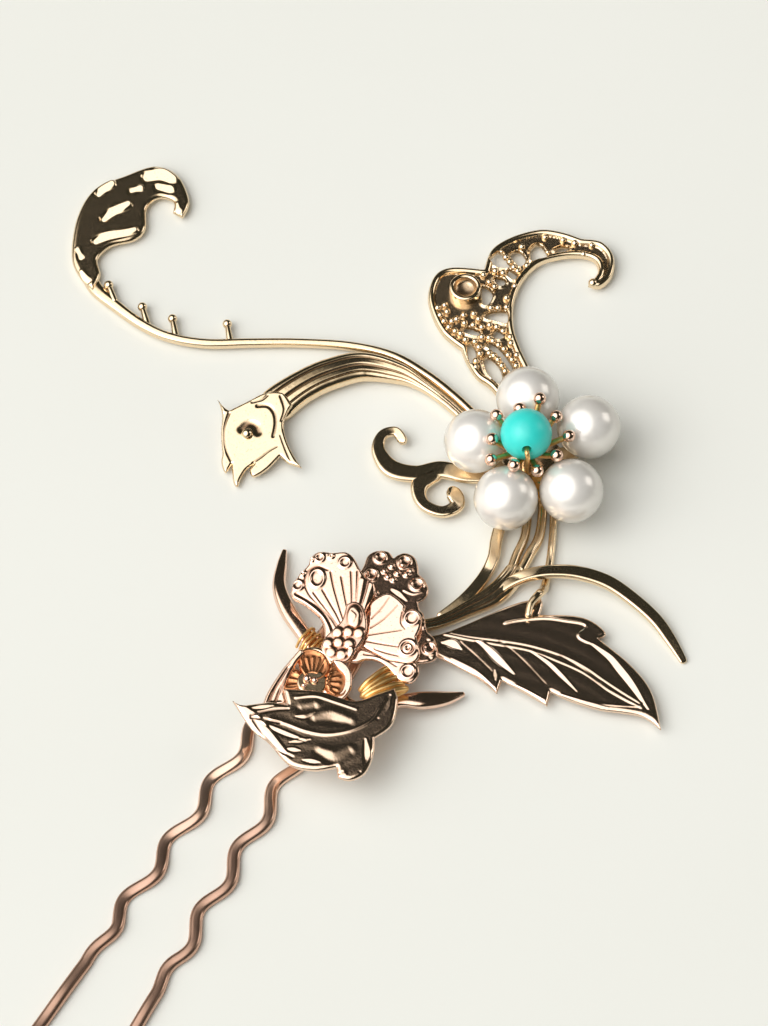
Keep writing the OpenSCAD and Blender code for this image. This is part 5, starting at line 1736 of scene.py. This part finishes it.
@dataclass
class CloudScroll:
    """Cloud scroll of two curls, flat on top with narrow rounded edges."""

    base: float = 0.65
    thick: float = 1.1
    # Curls: x, y and width, and their turns about their paths in degrees at shares of their lengths
    upper_roll: Rows = ((0, 0), (0.85, 0), (0.95, -12))
    lower_roll: Rows = ((0, 0), (0.7, 0), (0.9, -14))
    upper: Rows = ((20.2, 21.6, 1.6), (18.4, 21.4, 1.8), (15.2, 21.6, 2.2), (12, 22.4, 2.5),
                   (8.8, 21.8, 2.4), (5.7, 22.6, 2.5), (4.1, 25.2, 1.8), (4.6, 27.4, 1.4), (6.2, 28, 1.3),
                   (7.1, 26.9, 1.3), (7, 26.2, 1.3))
    lower: Rows = ((12, 22.2, 2), (9.6, 20.7, 2.4), (9.2, 18.8, 1.9), (10.1, 17.1, 1.6),
                   (12.2, 16.3, 1.6), (13.9, 17.3, 1.9), (13.5, 18.9, 2.2), (12.6, 19.2, 1.4))

    def build(self, finishes: Finishes) -> None:
        """Makes the scroll.

        Args:
            finishes: the finishes to choose from.
        """
        curls = ((self.upper, self.upper_roll), (self.lower, self.lower_roll))
        shells = [strip([(x, y, self.base, w, self.thick) for x, y, w in rows], Section.FLAT, 48, 0.15,
                        roll) for rows, roll in curls]
        make_piece("scroll_casting", shells, finishes.champagne, ("cloud_scroll",))


@dataclass
class PearlFlower:
    """Five pearls on posts, stamens with balls, and a turquoise bead on a bent pin."""

    middle: tuple[float, float] = (23.5, 22.1)
    pearl_d: float = 8.0
    pearl_z: float = 6.5
    # Width and depth of the hole for its post
    post_hole: float = 1.1
    post_depth: float = 2.0
    # Pearls: direction in degrees and distance from the middle
    pearls: Rows = ((95, 7.7), (169, 7.4), (242, 7.7), (308, 7.3), (27, 7.7))
    cap: tuple[float, float, float] = (22.6, 22.2, 6.7)
    cap_r: float = 1.5
    cap_t: float = 0.6
    # Stamens: direction in degrees, distance and height of the ball
    stamens: Rows = ((73, 5.3, 10.5), (40, 4.7, 9.6), (0, 5.1, 9.9), (-38, 4.5, 9.9), (-76, 4.7, 9.2),
                     (-111, 5, 10.7), (-146, 5.5, 9.4), (-170, 4.5, 10.5), (145, 4.7, 10.4),
                     (103, 4.2, 9.7))
    ball_d: float = 1.62
    bead_at: tuple[float, float, float] = (22.4, 22, 10.7)
    bead_d: float = 6.4
    bead_hole: float = 1.1
    hole_rise: float = math.radians(21)
    pin_d: float = 0.6
    # How far the pin stands out of the bead's middle at both ends, and where its bend starts in front
    pin_out: tuple[float, float] = (3.7, 3.4)
    pin_bend: Rows = ((22.5, 18.2, 11.4), (22.5, 18.4, 9.8), (22.5, 18.9, 8), (22.5, 19, 6))
    pin_foot: tuple[float, float, float] = (22.5, 19, 2.6)

    def build(self, finishes: Finishes) -> None:
        """Makes the pearls, the stamens, the bead and its pin.

        Args:
            finishes: the finishes to choose from.
        """
        for k, (turn, far) in enumerate(self.pearls, 1):
            a = math.radians(turn)
            at = (self.middle[0] + far * math.cos(a), self.middle[1] + far * math.sin(a), self.pearl_z)
            pearl = drilled(self.pearl_d, self.post_hole, at, (0, 0, 1), self.post_depth)
            make_piece(f"lacquered_pearl_{k}", [pearl], finishes.pearl, (f"pearl_{k}",))
        x, y, z = self.cap
        r, top = self.cap_r, z + self.cap_t
        rim = [(0, z), (r, z), (r + 0.12, z + self.cap_t / 2), (r, top), (0, top)]
        balls, wires = [], [turned(rim, (x, y, 0))]
        for turn, far, high in self.stamens:
            c, s = math.cos(math.radians(turn)), math.sin(math.radians(turn))
            bend = curve([(1.1, z + 0.3), (2.5, 7.9), (far, high)], 8)
            path = np.column_stack([x + bend[:, 0] * c, y + bend[:, 0] * s, bend[:, 1]])
            wires.append(tube(path, np.linspace(0.95, 0.7, len(path)), (-s, c, 0), 10))
            balls.append(ball((x + far * c, y + far * s, high), self.ball_d, 24))
        make_piece("stamen_cap_and_wires", wires, finishes.wire, ("stamen_cap",))
        make_piece("stamen_balls", balls, finishes.rose, ("stamen_cap",))
        way = np.array([0, -math.cos(self.hole_rise), math.sin(self.hole_rise)])
        at = np.array(self.bead_at)
        make_piece("turquoise_round_bead", [drilled(self.bead_d, self.bead_hole, at, way)],
                   finishes.stone, ("turquoise_bead",))
        out, turn_at = self.pin_out
        bend = curve([at + way * out, *self.pin_bend], 8)
        path = np.vstack([at - way * out, at, at + way * turn_at, bend, [self.pin_foot]])
        make_piece("bead_pin_wire", [tube(path, self.pin_d, (1, 0, 0), 14)], finishes.wire,
                   ("bead_pin",))


@dataclass
class Binding:
    """Turns of wire that fan out round a flat bundle."""

    name: str
    node: str
    # Ends of the first and of the last turn's front: x and y of each
    first: tuple[float, float, float, float]
    last: tuple[float, float, float, float]
    turns: int
    # Heights of the wire behind the bundle, at its sides and in front of it
    heights: tuple[float, float, float]
    wire_d: float
    # How far the turns stray from an even fan
    stray: float = 0.12

    def build(self, finishes: Finishes) -> None:
        """Makes the wire: over the front, down the side and back behind, turn after turn.

        Formula: a smooth curve through six places of each turn, whose ends move evenly from the first
        turn's to the last one's and stray by a sine.

        Args:
            finishes: the finishes to choose from.
        """
        back, side, front = self.heights
        k = np.arange(self.turns)[:, None]
        ends = np.asarray(self.first) + np.subtract(self.last, self.first) * k / (self.turns - 1)
        ends = ends + self.stray * np.sin(2.4 * k + np.arange(4))
        a, b = ends[:, :2], ends[:, 2:]
        level = np.ones((self.turns, 1))
        turn = [(a, side), (0.75 * a + 0.25 * b, front), (0.25 * a + 0.75 * b, front), (b, side),
                (0.25 * a + 0.75 * b, back), (0.75 * a + 0.25 * b, back)]
        rows = np.stack([np.hstack([xy, level * z]) for xy, z in turn], 1).reshape(-1, 3)
        path = evenly(curve(rows, 8), 0.12, 3)
        make_piece(self.name, [tube(path, self.wire_d, OFF_AXIS, 10)], finishes.wire,
                   (self.node,))


LEFT_BINDING = Binding("left_binding_wire", "left_binding", (-5.9, -3.2, -3.9, -0.7),
                       (-4.4, -5.1, -2.3, -2.6), 5, (0.85, 1.9, 2.95), 0.36)
RIGHT_BINDING = Binding("right_binding_wire", "right_binding", (2.0, -10.1, 5.2, -7.1),
                        (2.6, -11.6, 7.6, -9.9), 5, (3.1, 3.75, 4.4), 0.74)


# Studio


@dataclass
class Studio:
    """Pale floor, a key and a fill softbox, a room that is bright round the key, and the camera."""

    # Floor point at the middle of the picture, in mm, and the camera's place from it
    aim: tuple[float, float, float] = (-4.95, 14.47, 0.0)
    back: tuple[float, float, float] = (0.25, -0.433, 0.866)
    away: float = 600.0
    lens: float = 168.42
    # Directions to the lights in the spray's plan
    key_way: tuple[float, float, float] = (-0.57, -0.238, 0.792)
    fill_way: tuple[float, float, float] = (0.9, 0.3, 0.5)
    # Half side of the board in metres, places along its side, and how far it lies under the hairpin
    board_half: float = 1.5
    board_places: int = 7
    board_gap: float = 0.00002
    # Room's colours by how far a direction points to the key: the cosine of the angle between them
    room: Sequence[tuple[float, str]] = (
        (0.0, "#25261f"), (0.5, "#1a1b16"), (0.6, "#12130f"), (0.66, "#8c867a"), (0.71, "#f4efe6"),
        (0.8, "#ffffff"))
    # Colour of the horizon, and the rises between which it gives way to the room
    horizon: str = "#8d8e86"
    horizon_rise: tuple[float, float] = (0.02, 0.2)
    room_power: float = 1.7

    def floor(self) -> None:
        """Large plain board under the hairpin: a flat grid."""
        mesh = bpy.data.meshes.new("studio_board")
        u = np.linspace(-self.board_half, self.board_half, self.board_places)
        x, y = np.meshgrid(u, u, indexing="ij")
        places = np.stack([x, y, np.full_like(x, -self.board_gap)], -1).reshape(-1, 3)
        mesh.from_pydata(places.tolist(), [], grid_quads(len(u), len(u)).tolist())
        mesh.materials.append(StudioFloor().material())
        board = bpy.data.objects.new("studio_board", mesh)
        bpy.context.scene.collection.objects.link(board)

    def softbox(self, name: str, way: Sequence[float], far: float, size: tuple[float, float],
                power: float, colour: str) -> None:
        """Rectangular area light that faces the hairpin from a direction.

        Args:
            name: the light's name.
            way: direction to the light in the spray's plan.
            far: its distance in metres.
            size: its width and height in metres.
            power: its power in watts.
            colour: its colour.
        """
        light = bpy.data.lights.new(name, "AREA")
        light.shape, light.size, light.size_y = "RECTANGLE", size[0], size[1]
        light.energy, light.color = power, linear(colour)[:3]
        lamp = bpy.data.objects.new(name, light)
        d, aim = self.in_row(way), Vector(self.aim) * MM
        lamp.location = aim + d * far
        lamp.rotation_euler = (-d).to_track_quat("-Z", "Y").to_euler()
        bpy.context.scene.collection.objects.link(lamp)

    def surroundings(self) -> None:
        """Dim room: bright round the key light, dark elsewhere and grey at the horizon."""
        world = bpy.data.worlds.new("dim_room")
        bpy.context.scene.world = world
        world.use_nodes = True
        tree = world.node_tree
        tree.nodes.clear()
        way = add_node(tree, "ShaderNodeTexCoord").outputs["Generated"]
        towards = add_node(tree, "ShaderNodeVectorMath", {0: way, 1: self.in_row(self.key_way)},
                           operation="DOT_PRODUCT")
        room = add_node(tree, "ShaderNodeValToRGB", {0: towards.outputs["Value"]})
        self.fill_ramp(room, self.room)
        split = add_node(tree, "ShaderNodeSeparateXYZ", {0: way})
        low, high = self.horizon_rise
        level = add_node(tree, "ShaderNodeMapRange", {"Value": split.outputs["Z"]}, From_Min=high,
                         From_Max=low)
        both = add_node(tree, "ShaderNodeMix", {"Factor": level.outputs["Result"],
                                                6: room.outputs["Color"], 7: linear(self.horizon)},
                        data_type="RGBA")
        shade = add_node(tree, "ShaderNodeBackground", {"Color": both.outputs[2]},
                         Strength=self.room_power)
        add_node(tree, "ShaderNodeOutputWorld", {"Surface": shade.outputs[0]})

    @staticmethod
    def fill_ramp(ramp: Node, stops: Sequence[tuple[float, str]]) -> None:
        """Sets a colour ramp's stops.

        Args:
            ramp: the ramp's node.
            stops: positions and colours in rising order.
        """
        elements = ramp.color_ramp.elements
        elements[0].position, elements[-1].position = stops[0][0], stops[-1][0]
        elements[0].color, elements[-1].color = linear(stops[0][1]), linear(stops[-1][1])
        for position, colour in stops[1:-1]:
            elements.new(position).color = linear(colour)

    @staticmethod
    def in_row(way: Sequence[float]) -> Vector:
        """Unit direction in the row's frame of a direction in the spray's plan."""
        return Vector(to_row(way)).normalized()

    def camera(self) -> None:
        """Camera at the photograph's angle: 60 degrees above the floor."""
        data = bpy.data.cameras.new("camera")
        data.sensor_fit, data.sensor_height, data.lens = "VERTICAL", 36.0, self.lens
        data.clip_start, data.clip_end = 0.01, 10.0
        view = bpy.data.objects.new("camera", data)
        aim, back = Vector(self.aim) * MM, Vector(self.back)
        view.location = aim + back * self.away * MM
        view.rotation_euler = (-back).to_track_quat("-Z", "Y").to_euler()
        bpy.context.scene.collection.objects.link(view)
        bpy.context.scene.camera = view

    def build(self) -> None:
        """Sets up the whole studio."""
        self.floor()
        self.softbox("key_softbox", self.key_way, far=0.9, size=(0.6, 0.6), power=3.4, colour="#fffdf8")
        self.softbox("fill_softbox", self.fill_way, far=1.2, size=(0.5, 0.5), power=1.6, colour="#fff8f0")
        bpy.context.scene.view_settings.view_transform = "Standard"
        self.surroundings()
        self.camera()


def dress_back(finishes: Finishes) -> None:
    """Gives the flower's back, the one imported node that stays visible, its finish.

    Args:
        finishes: the finishes to choose from.
    """
    piece = frame["nodes"]["flower_back"]
    piece.data.materials.clear()
    piece.data.materials.append(finishes.champagne)
    LOG.info("dressed flower_back")


def main() -> None:
    """Builds the hairpin piece by piece, then the studio."""
    finishes = Finishes()
    parts = (Fork(), Crescent(), Butterfly(), Blossom(), SMALL_LEAF, LARGE_LEAF, Grass(), FiligreeWing(),
             Tendril(), Trumpet(), CloudScroll(), PearlFlower(), LEFT_BINDING, RIGHT_BINDING)
    for part in parts:
        LOG.info("building %s", type(part).__name__)
        part.build(finishes)
    dress_back(finishes)
    Studio().build()


if __name__ == "__main__":
    logging.basicConfig(level=logging.INFO, format="%(name)s: %(message)s")
    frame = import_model()
    main()
